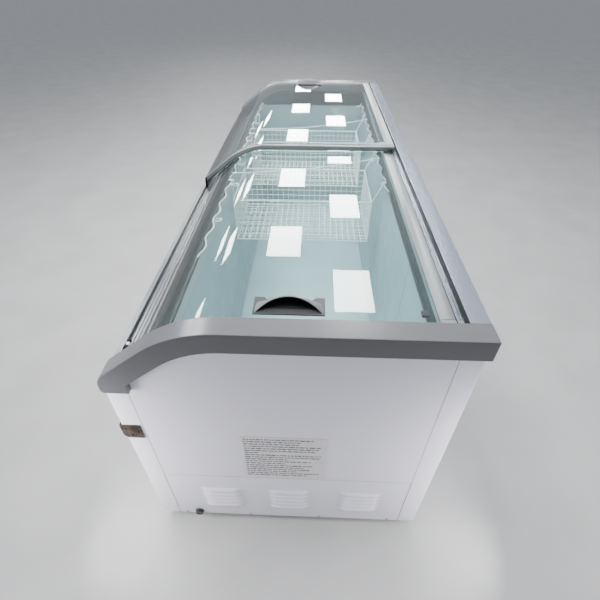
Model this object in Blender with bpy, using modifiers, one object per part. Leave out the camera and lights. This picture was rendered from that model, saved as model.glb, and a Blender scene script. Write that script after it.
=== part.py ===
"""Chest freezer for a shop: white body on castors, two curved glass lids that slide lengthways.

Frame: X along the freezer (+X is the machine end), the curved front faces -Y, +Z up.
The origin is on the floor under the middle. Lengths are in metres.
"""
from math import asin, cos, pi, radians, sin, sqrt, tan

import bmesh
import bpy
from mathutils import Matrix, Vector

# Overall size
LENGTH = 2.128
BODY_DEPTH = 0.800
CAP_TOP = 0.877
PANEL_BOTTOM = 0.045
HALF_LENGTH = LENGTH / 2
FRONT = -BODY_DEPTH / 2
REAR = BODY_DEPTH / 2

# Sheet, gaps and walls
GAP = 0.0003
SHEET = 0.0012
PAN_BOTTOM = 0.052
PAN_TOP = PAN_BOTTOM + SHEET
CAP_OVERHANG = 0.012
END_FACE = HALF_LENGTH - CAP_OVERHANG
RETURN_WIDTH = 0.051

# End caps and the curve that the lids follow
CAP_BAND = 0.052
CAP_INNER = HALF_LENGTH - CAP_BAND
CAP_FRONT = FRONT - 0.001
CAP_REAR = REAR + 0.006
CAP_BOTTOM = 0.685
CAP_TOE = -0.338
CURVE_Y = -0.120
CURVE_RADIUS = 0.270
CURVE_ANGLE = radians(38)
NOSE_RADIUS = 0.048
ARC_STEPS = 10

# Inner tank, raised over the machine compartment
TANK_FRONT = -0.270
TANK_REAR = 0.330
TANK_END = 0.980
TANK_FLOOR = 0.130
STEP_X = 0.540
STEP_FLOOR = 0.360
MACHINE_X = 0.600
MACHINE_TOP = 0.298
COLLAR_TOP = CAP_BAND + GAP
COLLAR_BOTTOM = COLLAR_TOP + 0.006
COLLAR_FRONT = -0.3055

# Lids: depth of each sheet below the cap's curve
LID_LENGTH = 1.060
LID_GAP = 0.0005
LID_OUTER = CAP_INNER - LID_GAP - GAP
FRONT_LIP = 0.7085
FRONT_GROOVE = 0.700
UPPER_TRACK = 0.856
LOWER_TRACK = 0.836
GLASS = 0.004
BAR_WIDTH = 0.018
BAR_DEPTH = 0.014
UPPER_DEPTH = 0.0
LOWER_DEPTH = 0.020
UPPER_LID_REAR = (0.325, 0.3565)
LOWER_LID_REAR = (0.316, 0.3485)
UPPER_LID_FRONT = (-0.3865, -0.3780)
LOWER_LID_FRONT = (-0.3300, -0.3210)

# Baskets
BASKET_LENGTH = 0.320
BASKET_RIM = 0.695
BASKET_FLOOR = 0.520
BASKET_FRONT = -0.2557
BASKET_REAR = 0.280
BASKET_WALL = 0.003
BASKET_X = {"right": -0.006, "left": -0.546}
LEDGE_TOP = 0.774
LEDGE_HEIGHT = 0.022

# Lid handles: a finger hood on a plate, open towards the lid's outer end
HANDLE_MIDDLE = 0.009
HANDLE_WIDTH = 0.152
HANDLE_MOUTH = 0.983
HANDLE_CREST = 0.953
HANDLE_BACK = 0.929
HANDLE_HEIGHT = 0.027
HANDLE_WALL = 0.003

# Louvres, counted from the lowest slot
LOUVRE_COLUMNS = (-0.197, 0.003, 0.213)
LOUVRE_ROWS = 5
LOUVRE_BOTTOM = 0.120
LOUVRE_PITCH = 0.0235
LOUVRE_SLOT = (0.120, 0.008)

# Drain, cable gland and controls
PLUG = Vector((END_FACE, -0.284, 0.0625))
DRAIN_START = Vector((STEP_X, -0.240, 0.150))
DRAIN_RADIUS = 0.0070
DRAIN_SPACE = 0.0083
GLAND = Vector((0.960, REAR, 0.100))
GLAND_RADIUS = 0.0090
CONTROL_X = 0.800
CONTROL_Z = 0.170
CONTROL_SIZE = (0.140, 0.100)
CONTROL_DEPTH = 0.024
CONTROL_RIM = 0.010

# Castors
CASTOR_X = 0.950
CASTOR_Y = 0.330
WHEEL_RADIUS = 0.018
WHEEL_WIDTH = 0.016
TRAIL = 0.014
AXLE_RADIUS = 0.003
RUNNING = 0.0003

# Fan
FAN = Vector((0.920, 0.190, 0.168))
FAN_RADIUS = 0.085
FAN_BLADES = 5
SHAFT_RADIUS = 0.004

TURN = {"X": (pi / 2, 0, pi / 2), "Y": (pi / 2, 0, 0), "Z": (0, 0, 0)}

for old in list(bpy.data.objects):
    bpy.data.objects.remove(old)

PARTS = bpy.data.collections.new("chest_freezer")
CUTTERS = bpy.data.collections.new("cutters")
for group in (PARTS, CUTTERS):
    bpy.context.scene.collection.children.link(group)


# ---------------------------------------------------------------- materials

def finish(name, colour, roughness, metallic=0.0):
    """A plain Principled material."""
    material = bpy.data.materials.new(name)
    material.use_nodes = True
    shader = material.node_tree.nodes["Principled BSDF"]
    shader.inputs["Base Color"].default_value = (*colour, 1.0)
    shader.inputs["Roughness"].default_value = roughness
    shader.inputs["Metallic"].default_value = metallic
    return material


WHITE = finish("white_enamel", (0.86, 0.86, 0.90), 0.30)
GREY = finish("grey_plastic", (0.33, 0.34, 0.36), 0.40)
DARK = finish("dark_plastic", (0.06, 0.06, 0.065), 0.45)
SILVER = finish("aluminium", (0.72, 0.74, 0.78), 0.32, 1.0)
LINER = finish("liner", (0.62, 0.74, 0.77), 0.35)
COLLAR = finish("collar_plastic", (0.36, 0.38, 0.37), 0.45)
FOAM = finish("foam", (0.85, 0.76, 0.48), 0.90)
CLEAR = finish("glass", (0.78, 0.90, 0.90), 0.03)
WIRE = finish("coated_wire", (0.92, 0.93, 0.92), 0.35)
GALVANISED = finish("galvanised", (0.55, 0.57, 0.58), 0.45, 1.0)
BRONZE = finish("bronze", (0.28, 0.20, 0.13), 0.42, 1.0)
BLACK = finish("black_paint", (0.02, 0.02, 0.022), 0.40)
COPPER = finish("copper", (0.72, 0.38, 0.24), 0.30, 1.0)
LABEL = finish("label", (0.88, 0.88, 0.86), 0.50)
RUBBER = finish("rubber", (0.03, 0.03, 0.03), 0.70)


# ---------------------------------------------------------------- building blocks

def settle(piece, material, collection=PARTS):
    """Puts a piece into its collection with its material."""
    for owner in list(piece.users_collection):
        owner.objects.unlink(piece)
    collection.objects.link(piece)
    piece.data.materials.clear()
    if material:
        piece.data.materials.append(material)
    return piece


def outline(name, points, axis, start, end, material):
    """A flat outline, thick along one axis from start to end."""
    curve = bpy.data.curves.new(name, "CURVE")
    curve.dimensions = "2D"
    curve.fill_mode = "BOTH"
    curve.extrude = (end - start) / 2
    spline = curve.splines.new("POLY")
    spline.points.add(len(points) - 1)
    for point, (u, v) in zip(spline.points, points):
        point.co = (u, v, 0, 1)
    spline.use_cyclic_u = True
    drawn = bpy.data.objects.new(name, curve)
    PARTS.objects.link(drawn)
    drawn.rotation_euler = TURN[axis]
    along = {"X": Vector((1, 0, 0)), "Y": Vector((0, 1, 0)), "Z": Vector((0, 0, 1))}[axis]
    drawn.location = along * (start + end) / 2
    return settle(to_mesh(drawn), material)


def to_mesh(drawn):
    """Turns a curve object into a closed mesh object in the same place."""
    name = drawn.name
    bpy.context.view_layer.update()
    graph = bpy.context.evaluated_depsgraph_get()
    mesh = bpy.data.meshes.new_from_object(drawn.evaluated_get(graph))
    matrix = drawn.matrix_world.copy()
    bpy.data.objects.remove(drawn)
    sheet = bmesh.new()
    sheet.from_mesh(mesh)
    bmesh.ops.remove_doubles(sheet, verts=sheet.verts, dist=0.00001)
    sheet.to_mesh(mesh)
    sheet.free()
    solid = bpy.data.objects.new(name, mesh)
    PARTS.objects.link(solid)
    solid.matrix_world = matrix
    return solid


def box(name, low, high, material, bevel=0.0):
    """A box between two corners."""
    low, high = Vector(low), Vector(high)
    bpy.ops.mesh.primitive_cube_add(size=1, location=(low + high) / 2)
    piece = bpy.context.object
    piece.name = name
    piece.scale = high - low
    bpy.ops.object.transform_apply(location=False, rotation=False, scale=True)
    if bevel:
        edge = piece.modifiers.new("edge", "BEVEL")
        edge.width = bevel
        edge.segments = 2
        edge.limit_method = "ANGLE"
    return settle(piece, material)


def cylinder(name, start, end, radius, material, sides=24):
    """A cylinder between two points."""
    start, end = Vector(start), Vector(end)
    span = end - start
    bpy.ops.mesh.primitive_cylinder_add(
        vertices=sides, radius=radius, depth=span.length, location=(start + end) / 2)
    piece = bpy.context.object
    piece.name = name
    piece.rotation_euler = span.to_track_quat("Z", "Y").to_euler()
    return smooth(settle(piece, material))


def turned(name, profile, centre, axis, material, steps=28):
    """A turned piece: (radius, height) points from top to bottom, about an axis through centre."""
    mesh = bpy.data.meshes.new(name)
    points = [(radius, 0, height) for radius, height in profile]
    edges = [(i, i + 1) for i in range(len(points) - 1)]
    if profile[0][0] > 0:
        edges.append((len(points) - 1, 0))
    mesh.from_pydata(points, edges, [])
    piece = bpy.data.objects.new(name, mesh)
    PARTS.objects.link(piece)
    screw = piece.modifiers.new("turn", "SCREW")
    screw.steps = steps
    screw.render_steps = steps
    screw.use_merge_vertices = True
    screw.merge_threshold = 0.00005
    piece.rotation_euler = Vector(axis).to_track_quat("Z", "Y").to_euler()
    piece.location = centre
    return smooth(settle(piece, material))


def tube(name, points, radius, material, smooth_steps=6):
    """A round tube along a smooth path through points."""
    curve = bpy.data.curves.new(name, "CURVE")
    curve.dimensions = "3D"
    curve.bevel_depth = radius
    curve.bevel_resolution = 1
    curve.use_fill_caps = True
    curve.resolution_u = smooth_steps
    spline = curve.splines.new("NURBS")
    spline.points.add(len(points) - 1)
    for point, place in zip(spline.points, points):
        point.co = (*place, 1)
    spline.order_u = 3
    spline.use_endpoint_u = True
    drawn = bpy.data.objects.new(name, curve)
    PARTS.objects.link(drawn)
    return smooth(settle(to_mesh(drawn), material))


def smooth(piece, angle=35):
    """Smooth shading with sharp edges kept."""
    piece.data.shade_smooth()
    piece.data.set_sharp_from_angle(angle=radians(angle))
    return piece


def combine(piece, others, operation):
    """Joins others to a piece, cuts them out of it or keeps what it shares with them."""
    for other in others:
        step = piece.modifiers.new(other.name, "BOOLEAN")
        step.operation = operation
        step.solver = "EXACT"
        step.object = other
        settle(other, None, CUTTERS)
        other.hide_render = True
        other.display_type = "WIRE"
    return piece


def join(piece, *others):
    return combine(piece, others, "UNION")


def cut(piece, *others):
    return combine(piece, others, "DIFFERENCE")


def carrier(name, place, children, parent=None):
    """An empty on a joint's axis that carries the pieces which move with it."""
    empty = bpy.data.objects.new(name, None)
    PARTS.objects.link(empty)
    empty.empty_display_size = 0.05
    empty.matrix_world = Matrix.Translation(place)
    if parent:
        hold(empty, parent)
    bpy.context.view_layer.update()
    for child in children:
        hold(child, empty)
    return empty


def hold(child, parent):
    """Parents a piece and leaves it where it is."""
    bpy.context.view_layer.update()
    place = child.matrix_world.copy()
    child.parent = parent
    child.matrix_world = place


# ---------------------------------------------------------------- the curve of the lids

def curve_line(depth, rear, front):
    """Points of the line that lies a given depth under the cap's top, from rear to front."""
    radius = CURVE_RADIUS - depth
    centre = CAP_TOP - CURVE_RADIUS
    points = [(rear, CAP_TOP - depth)]
    for step in range(ARC_STEPS + 1):
        turn = CURVE_ANGLE * step / ARC_STEPS
        points.append((CURVE_Y - radius * sin(turn), centre + radius * cos(turn)))
    last_y, last_z = points[-1]
    if front < last_y:
        points.append((front, last_z - (last_y - front) * tan(CURVE_ANGLE)))
        return points
    kept = [point for point in points if point[0] > front]
    kept.append((front, centre + sqrt(radius ** 2 - (front - CURVE_Y) ** 2)))
    return kept


def curved_band(top, bottom, rear, front):
    """A strip between two depths, cut upright at its two ends."""
    return curve_line(top, rear, front) + curve_line(bottom, rear, front)[::-1]


def cap_outline():
    """End view of a cap: a band with a rounded nose and a short leg at the front."""
    corner_z = curve_line(0, CAP_REAR, CAP_FRONT)[-1][1]
    bend = pi / 2 - CURVE_ANGLE
    reach = NOSE_RADIUS * tan(bend / 2)
    centre = (CAP_FRONT + NOSE_RADIUS, corner_z - reach)
    outer = curve_line(0, CAP_REAR, CAP_FRONT + reach * cos(CURVE_ANGLE))[:-1]
    for step in range(6):
        turn = pi / 2 + CURVE_ANGLE + bend * step / 5
        outer.append((centre[0] + NOSE_RADIUS * cos(turn), centre[1] + NOSE_RADIUS * sin(turn)))
    corner = 0.010
    foot = [(CAP_FRONT, CAP_BOTTOM + corner), (CAP_FRONT + corner, CAP_BOTTOM)]
    inner = curve_line(CAP_BAND, CAP_REAR, CAP_TOE)[::-1]
    return outer + foot + [(CAP_TOE, CAP_BOTTOM)] + inner


def wall_outline(depth):
    """End view of the body under the caps."""
    front = CAP_TOE + GAP
    under = CAP_BOTTOM - GAP
    skin = SHEET + GAP
    top = curve_line(depth, REAR - skin, front)
    return top + [(front, under), (FRONT + skin, under), (FRONT + skin, PAN_TOP + GAP),
                  (REAR - skin, PAN_TOP + GAP)]


# ---------------------------------------------------------------- body shells

def body_shells():
    box("base_pan", (-END_FACE + SHEET + GAP, FRONT + SHEET + GAP, PAN_BOTTOM),
        (END_FACE - SHEET - GAP, REAR - SHEET - GAP, PAN_TOP), GALVANISED)
    front = side_panel("front_outer_panel", FRONT, 1, CAP_BOTTOM - GAP)
    half_x, half_z = (size / 2 - CONTROL_RIM + 0.003 for size in CONTROL_SIZE)
    cut(front, box("control_hole", (CONTROL_X - half_x, FRONT - 0.01, CONTROL_Z - half_z),
                   (CONTROL_X + half_x, FRONT + 0.01, CONTROL_Z + half_z), None))
    rear = side_panel("rear_outer_panel", REAR, -1, CAP_TOP - CAP_BAND - GAP)
    reach = Vector((0, 0.01, 0))
    cut(rear, cylinder("gland_hole", GLAND - reach, GLAND + reach, GLAND_RADIUS + GAP, None))
    flat = RETURN_WIDTH + GAP
    top = curve_line(CAP_BAND + GAP, REAR - flat, FRONT + RETURN_WIDTH + 0.012)
    for side, low in (("right", MACHINE_TOP + GAP), ("left", PANEL_BOTTOM)):
        under = CAP_BOTTOM - GAP
        shape = top + [(FRONT + RETURN_WIDTH + 0.012, under), (FRONT + flat, under),
                       (FRONT + flat, low), (REAR - flat, low)]
        ends = (END_FACE - SHEET, END_FACE) if side == "right" else (-END_FACE, -END_FACE + SHEET)
        outline(f"{side}_end_panel", shape, "X", *ends, WHITE)
    louvre_panel()


def side_panel(name, face, inward, top):
    """A long panel that wraps round both ends."""
    inner = face + inward * SHEET
    tip = face + inward * RETURN_WIDTH
    shape = [(-END_FACE, face), (END_FACE, face), (END_FACE, tip), (END_FACE - SHEET, tip),
             (END_FACE - SHEET, inner), (-END_FACE + SHEET, inner), (-END_FACE + SHEET, tip),
             (-END_FACE, tip)]
    return outline(name, shape, "Z", PANEL_BOTTOM, top, WHITE)


def louvre_panel():
    half = BODY_DEPTH / 2 - RETURN_WIDTH - GAP
    panel = box("louvre_panel", (END_FACE - SHEET, -half, PANEL_BOTTOM), (END_FACE, half, MACHINE_TOP), WHITE)
    width, height = LOUVRE_SLOT
    slots = []
    for column in LOUVRE_COLUMNS:
        for row in range(LOUVRE_ROWS):
            low = LOUVRE_BOTTOM + LOUVRE_PITCH * row
            slots.append(box("slot", (END_FACE - 0.01, column - width / 2, low),
                             (END_FACE + 0.01, column + width / 2, low + height), None))
    reach = Vector((0.01, 0, 0))
    slots.append(cylinder("plug_hole", PLUG - reach, PLUG + reach, DRAIN_SPACE, None))
    cut(panel, *slots)


def tank_volume(name, swell, top):
    """The space of the tank, larger by swell on its sides and floor."""
    low, step = TANK_FLOOR - swell, STEP_FLOOR - swell
    end = TANK_END + swell
    shape = [(-end, top), (-end, low), (STEP_X + swell, low), (STEP_X + swell, step), (end, step), (end, top)]
    return outline(name, shape[::-1], "Y", TANK_FRONT - swell, TANK_REAR + swell, None)


def tank_and_foam():
    reach = END_FACE - SHEET - GAP
    foam = outline("insulation_foam", wall_outline(COLLAR_BOTTOM + GAP), "X", -reach, reach, FOAM)
    machine = box("machine_space", (MACHINE_X, FRONT, 0), (HALF_LENGTH, REAR, MACHINE_TOP), None)
    front = box("front_rail_space", (-CAP_INNER, FRONT - 0.1, CAP_BOTTOM - GAP),
                (CAP_INNER, COLLAR_FRONT, CAP_TOP), None)
    stub = Vector((0.05, 0, 0))
    beyond = DRAIN_START + Vector((MACHINE_X - STEP_X, 0, 0)) + stub
    drain = cylinder("drain_space", DRAIN_START - stub, beyond, DRAIN_SPACE, None)
    cut(foam, tank_volume("tank_space", SHEET + GAP, 1.0), machine, front, drain)
    tank = tank_volume("inner_tank", SHEET, 0.9)
    tank.data.materials.append(LINER)
    limit = outline("tank_limit", wall_outline(COLLAR_BOTTOM + GAP), "X", -reach, reach, None)
    combine(tank, [limit], "INTERSECT")
    drain = cylinder("tank_drain", DRAIN_START - stub, DRAIN_START + stub, DRAIN_SPACE, None)
    cut(tank, tank_volume("tank_inside", 0, 1.0), drain)
    inner = tank_volume("collar_inside", 0.0, 1.0)
    ring = curved_band(COLLAR_TOP, COLLAR_BOTTOM, REAR - 0.005, COLLAR_FRONT + GAP)
    collar = outline("breaker_frame", ring, "X", -CAP_INNER, CAP_INNER, COLLAR)
    cut(collar, inner)
    for name, low, high in (("front_basket_rail", TANK_FRONT + GAP, BASKET_FRONT - BASKET_WALL - GAP),
                            ("rear_basket_rail", TANK_REAR - 0.010, TANK_REAR - GAP)):
        box(name, (-0.970, low, LEDGE_TOP - LEDGE_HEIGHT), (0.970, high, LEDGE_TOP), GALVANISED)


def caps_and_rails():
    shape = cap_outline()
    for side, low, high in (("right", CAP_INNER, HALF_LENGTH), ("left", -HALF_LENGTH, -CAP_INNER)):
        smooth(outline(f"{side}_end_cap", shape, "X", low, high, GREY))
    lip, groove = FRONT_LIP, FRONT_GROOVE
    front = [(FRONT - GAP, CAP_BOTTOM), (FRONT - GAP, lip), (-0.388, lip), (-0.388, groove),
             (-0.3765, groove), (-0.3765, lip), (-0.3345, lip), (-0.3345, groove), (-0.3165, groove),
             (-0.3165, 0.748), (-0.306, 0.748), (-0.306, CAP_BOTTOM)]
    low = CAP_TOP - CAP_BAND + 0.0025
    high, upper, lower = CAP_TOP - 0.001, UPPER_TRACK, LOWER_TRACK
    rear = [(REAR + 0.005, low), (REAR + 0.005, high), (0.364, high), (0.364, upper), (0.351, upper),
            (0.351, lower), (0.322, lower), (0.322, low)]
    reach = CAP_INNER - GAP
    outline("front_top_rail", front, "X", -reach, reach, SILVER)
    outline("rear_top_rail", rear, "X", -reach, reach, SILVER)
    box("blank_label", (END_FACE + GAP, -0.115, 0.305), (END_FACE + 0.0008, 0.102, 0.510), LABEL)
    face = END_FACE + GAP
    edge = FRONT - GAP
    plate = 0.0018
    corner = [(END_FACE - 0.050, edge), (END_FACE - 0.050, FRONT - 0.006), (face + plate, FRONT - 0.006),
              (face + plate, -0.355), (face, -0.355), (face, edge)]
    outline("right_corner_bracket", corner, "Z", 0.490, 0.545, BRONZE)


# ---------------------------------------------------------------- lids

def lid(side, depth, front_ends, rear_ends):
    """One lid: glass, front and rear edge rails, two end bars and a handle."""
    front_low, front_high = front_ends
    rear = rear_ends[0]
    groove = FRONT_GROOVE + GAP
    hand = 1 if side == "right" else -1
    outer = hand * LID_OUTER
    inner = outer - hand * LID_LENGTH
    low, high = sorted((outer, inner))
    bar = BAR_WIDTH
    name = f"{side}_lid"
    front = front_high + GAP
    glass = curved_band(depth, depth + GLASS, rear - GAP, front)
    pieces = [smooth(outline(f"{name}_glass", glass, "X", low + bar + GAP, high - bar - GAP, CLEAR))]
    frame = curved_band(depth, depth + BAR_DEPTH, rear - GAP, front)
    for label, start, end in (("outer", outer, outer - hand * bar), ("inner", inner, inner + hand * bar)):
        ends = sorted((start, end))
        pieces.append(smooth(outline(f"{name}_{label}_bar", frame, "X", *ends, GREY)))
    drop = curve_line(depth, rear, front_low)[-1][1]
    lift = curve_line(depth, rear, front_high)[-1][1]
    edge = [(front_low, groove), (front_low, drop), (front_high, lift), (front_high, groove)]
    pieces.append(outline(f"{name}_front_rail", edge, "X", low, high, SILVER))
    pieces.append(rear_rail(name, depth, rear_ends, low, high))
    pieces.append(handle(name, CAP_TOP - depth, hand))
    if side == "left":
        seal = curved_band(depth + BAR_DEPTH + GAP, depth + BAR_DEPTH + 0.0042, rear - GAP, front)
        pieces.append(outline("left_lid_seal", seal, "X", *sorted((inner, inner + hand * bar)), RUBBER))
    carrier(f"{name}_slide", (outer, 0, CAP_TOP), pieces)


def rear_rail(name, depth, ends, low, high):
    """The flat strip at the back of a lid, with the foot that rides in its track."""
    top = CAP_TOP - depth
    front, rear = ends
    if depth == UPPER_DEPTH:
        sole, heel = UPPER_TRACK + GAP, rear - 0.0045
        shape = [(front, top), (front, top - 0.011), (heel, top - 0.011), (heel, sole), (rear, sole), (rear, top)]
    else:
        sole = LOWER_TRACK + GAP
        shape = [(front, top), (front, sole), (rear, sole), (rear, top)]
    return outline(f"{name}_rear_rail", shape, "X", low, high, SILVER)


def arch(half_width, height, base, steps=12):
    """Outline of a shallow round arch on a flat base."""
    radius = (half_width ** 2 + height ** 2) / (2 * height)
    reach = asin(half_width / radius)
    points = []
    for step in range(steps + 1):
        turn = reach * (1 - 2 * step / steps)
        points.append((HANDLE_MIDDLE + radius * sin(turn), base + height + radius * (cos(turn) - 1)))
    return points


def hood(name, hand, base, wall):
    """A shallow arch cut to a wedge: its mouth leans back and its rear slopes down to the plate."""
    half = HANDLE_WIDTH / 2 - wall - 0.001
    arched = outline(name, arch(half, HANDLE_HEIGHT - 2 * wall, base + wall), "X",
                     *sorted((hand * (HANDLE_BACK - 0.01), hand * (HANDLE_MOUTH + 0.02))), None)
    inset = 1.5 * wall
    outset = 6 * wall
    back = HANDLE_BACK + 0.002 + inset
    top = base + HANDLE_HEIGHT
    wedge = [(back, base - 0.001), (HANDLE_MOUTH + outset, base - 0.001), (HANDLE_CREST + outset, top),
             (HANDLE_CREST + inset, top), (back, base + 0.002)]
    shape = [(hand * x, z) for x, z in wedge]
    sides = (HANDLE_MIDDLE - HANDLE_WIDTH, HANDLE_MIDDLE + HANDLE_WIDTH)
    limit = outline(f"{name}_limit", shape, "Y", *sides, None)
    return combine(arched, [limit], "INTERSECT")


def handle(name, glass_top, hand):
    """A finger hood on a flat plate, open towards the outer end of its lid."""
    base = glass_top + GAP
    near, far = sorted((hand * HANDLE_BACK, hand * HANDLE_MOUTH))
    half = HANDLE_WIDTH / 2
    plate = box(f"{name}_handle", (near, HANDLE_MIDDLE - half, base),
                (far, HANDLE_MIDDLE + half, base + HANDLE_WALL), DARK)
    join(plate, hood("hood", hand, base, 0.0))
    return smooth(cut(plate, hood("hollow", hand, base, HANDLE_WALL)))


# ---------------------------------------------------------------- baskets

def basket(side):
    """An open basket hung from the two ledges by its long sides."""
    centre = BASKET_X[side]
    low, high = centre - BASKET_LENGTH / 2, centre + BASKET_LENGTH / 2
    wall = BASKET_WALL
    front, rear = BASKET_FRONT, BASKET_REAR
    lip = LEDGE_TOP + GAP
    hooks = (TANK_FRONT + 0.002, TANK_REAR - 0.002)
    floor = BASKET_FLOOR
    shape = [(hooks[0], lip), (hooks[0], lip + wall), (front, lip + wall), (front, floor + wall),
             (rear, floor + wall), (rear, lip + wall), (hooks[1], lip + wall), (hooks[1], lip),
             (rear + wall, lip), (rear + wall, floor), (front - wall, floor), (front - wall, lip)]
    tray = outline(f"{side}_basket", shape, "X", low, high, WIRE)
    ends = [box("end", (x, front - wall / 2, floor), (x + wall, rear + wall / 2, BASKET_RIM), None)
            for x in (low, high - wall)]
    join(tray, *ends)
    carrier(f"{side}_basket_slide", (centre, 0, LEDGE_TOP), [tray])


# ---------------------------------------------------------------- castors

def castor(name, x, y):
    """Top plate, swivel fork with its axle, and wheel."""
    top = PAN_BOTTOM - GAP
    stem = 0.005
    plate = box(f"{name}_plate", (x - 0.028, y - 0.028, top - 0.003), (x + 0.028, y + 0.028, top), GALVANISED)
    cut(plate, cylinder("stem_hole", (x, y, 0), (x, y, 0.1), stem + RUNNING, None))
    crown = top - 0.003 - GAP
    fork = cylinder(f"{name}_fork", (x, y, crown - 0.006), (x, y, crown), 0.016, GALVANISED)
    post = cylinder("post", (x, y, crown - 0.002), (x, y, top - GAP), stem, None)
    wheel_x = x - TRAIL
    half = WHEEL_WIDTH / 2 + 0.001
    reach = WHEEL_RADIUS
    legs = []
    for hand in (-1, 1):
        side = sorted((y + hand * half, y + hand * (half + 0.002)))
        shape = [(x + 0.008, crown - 0.003), (x - 0.010, crown - 0.003), (wheel_x - 0.006, reach - 0.004),
                 (wheel_x + 0.006, reach - 0.004)]
        legs.append(outline("leg", shape, "Y", *side, None))
    axle = cylinder("axle", (wheel_x, y - half - 0.001, reach), (wheel_x, y + half + 0.001, reach),
                    AXLE_RADIUS, None, 16)
    join(fork, post, *legs, axle)
    bore = AXLE_RADIUS + RUNNING
    half_tread = WHEEL_WIDTH / 2
    profile = [(bore, half_tread), (WHEEL_RADIUS - 0.002, half_tread), (WHEEL_RADIUS, half_tread - 0.002),
               (WHEEL_RADIUS, 0.002 - half_tread), (WHEEL_RADIUS - 0.002, -half_tread), (bore, -half_tread)]
    wheel = turned(f"{name}_wheel", profile, (wheel_x, y, WHEEL_RADIUS), (0, 1, 0), RUBBER, 24)
    swivel = carrier(f"{name}_swivel", (x, y, crown), [fork])
    hold(wheel, swivel)


# ---------------------------------------------------------------- machine compartment

def compressor_set():
    floor = PAN_TOP + GAP
    box("compressor_bracket", (0.680, -0.330, floor), (0.900, -0.050, floor + 0.010), GALVANISED, 0.002)
    base = floor + 0.010 + GAP
    shell = [(0.0, 0.175), (0.040, 0.170), (0.066, 0.150), (0.072, 0.120), (0.072, 0.100), (0.078, 0.097),
             (0.078, 0.092), (0.072, 0.089), (0.072, 0.040), (0.060, 0.016), (0.040, 0.008), (0.0, 0.006)]
    pot = turned("compressor", shell, (0.790, -0.180, base), (0, 0, 1), BLACK, 24)
    feet = [box("foot", (0.700, -0.200, base), (0.880, -0.160, base + 0.010), None),
            box("terminal", (0.855, -0.205, base + 0.050), (0.880, -0.155, base + 0.085), None)]
    join(pot, *feet)
    low, high = floor, 0.275
    coil = box("condenser", (0.960, 0.050, low), (1.005, 0.330, high), GALVANISED)
    grooves = []
    for step in range(13):
        y = 0.068 + 0.020 * step
        grooves.append(box("groove", (0.950, y, low + 0.010), (0.977, y + 0.010, high - 0.010), None))
        grooves.append(box("groove", (0.988, y, low + 0.010), (1.015, y + 0.010, high - 0.010), None))
    cut(coil, *grooves)
    discharge = [(0.790, -0.110, 0.200), (0.790, -0.060, 0.215), (0.800, 0.000, 0.255), (0.900, 0.020, 0.262),
                 (0.975, 0.024, 0.255), (0.982, 0.046, 0.250)]
    tube("discharge_pipe", discharge, 0.0035, COPPER)
    suction = [(0.716, -0.180, 0.170), (0.690, -0.180, 0.175), (0.665, -0.150, 0.200), (0.640, -0.060, 0.240),
               (0.603, -0.050, 0.240)]
    tube("suction_pipe", suction, 0.0045, COPPER)
    drier = [(0.0, 0.045), (0.004, 0.045), (0.004, 0.034), (0.011, 0.028), (0.011, -0.028), (0.004, -0.034),
             (0.004, -0.045), (0.0, -0.045)]
    turned("filter_drier", drier, (0.700, 0.100, 0.120), (0, 0, 1), COPPER, 16)


def fan_set():
    x, y, z = FAN
    floor = PAN_TOP + GAP
    plate = x - 0.082
    post = box("fan_bracket", (plate, y - 0.015, floor), (plate + 0.003, y + 0.015, z + 0.020), GALVANISED)
    foot = box("foot", (plate - 0.038, y - 0.025, floor), (plate + 0.0025, y + 0.025, floor + 0.003), None)
    join(post, foot)
    shell = [(0.0, 0.095), (SHAFT_RADIUS, 0.095), (SHAFT_RADIUS, 0.056), (0.012, 0.055), (0.032, 0.048),
             (0.034, 0.040), (0.034, 0.004), (0.030, 0.0), (0.0, 0.0)]
    turned("fan_motor", shell, (plate + 0.003 + GAP, y, z), (1, 0, 0), BLACK, 24)
    bore = SHAFT_RADIUS + RUNNING
    hub_profile = [(bore, 0.012), (0.018, 0.012), (0.022, 0.008), (0.022, -0.012), (bore, -0.012)]
    hub = turned("fan_blade", hub_profile, FAN, (1, 0, 0), DARK, 24)
    blades = []
    for count in range(FAN_BLADES):
        blade = box("blade", (-0.001, -0.024, 0.018), (0.001, 0.024, FAN_RADIUS), None)
        blade.matrix_world = (Matrix.Translation(FAN) @ Matrix.Rotation(2 * pi * count / FAN_BLADES, 4, "X")
                              @ Matrix.Rotation(radians(24), 4, "Z") @ blade.matrix_world)
        blades.append(blade)
    join(hub, *blades)
    carrier("fan_spin", FAN, [hub])


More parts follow.
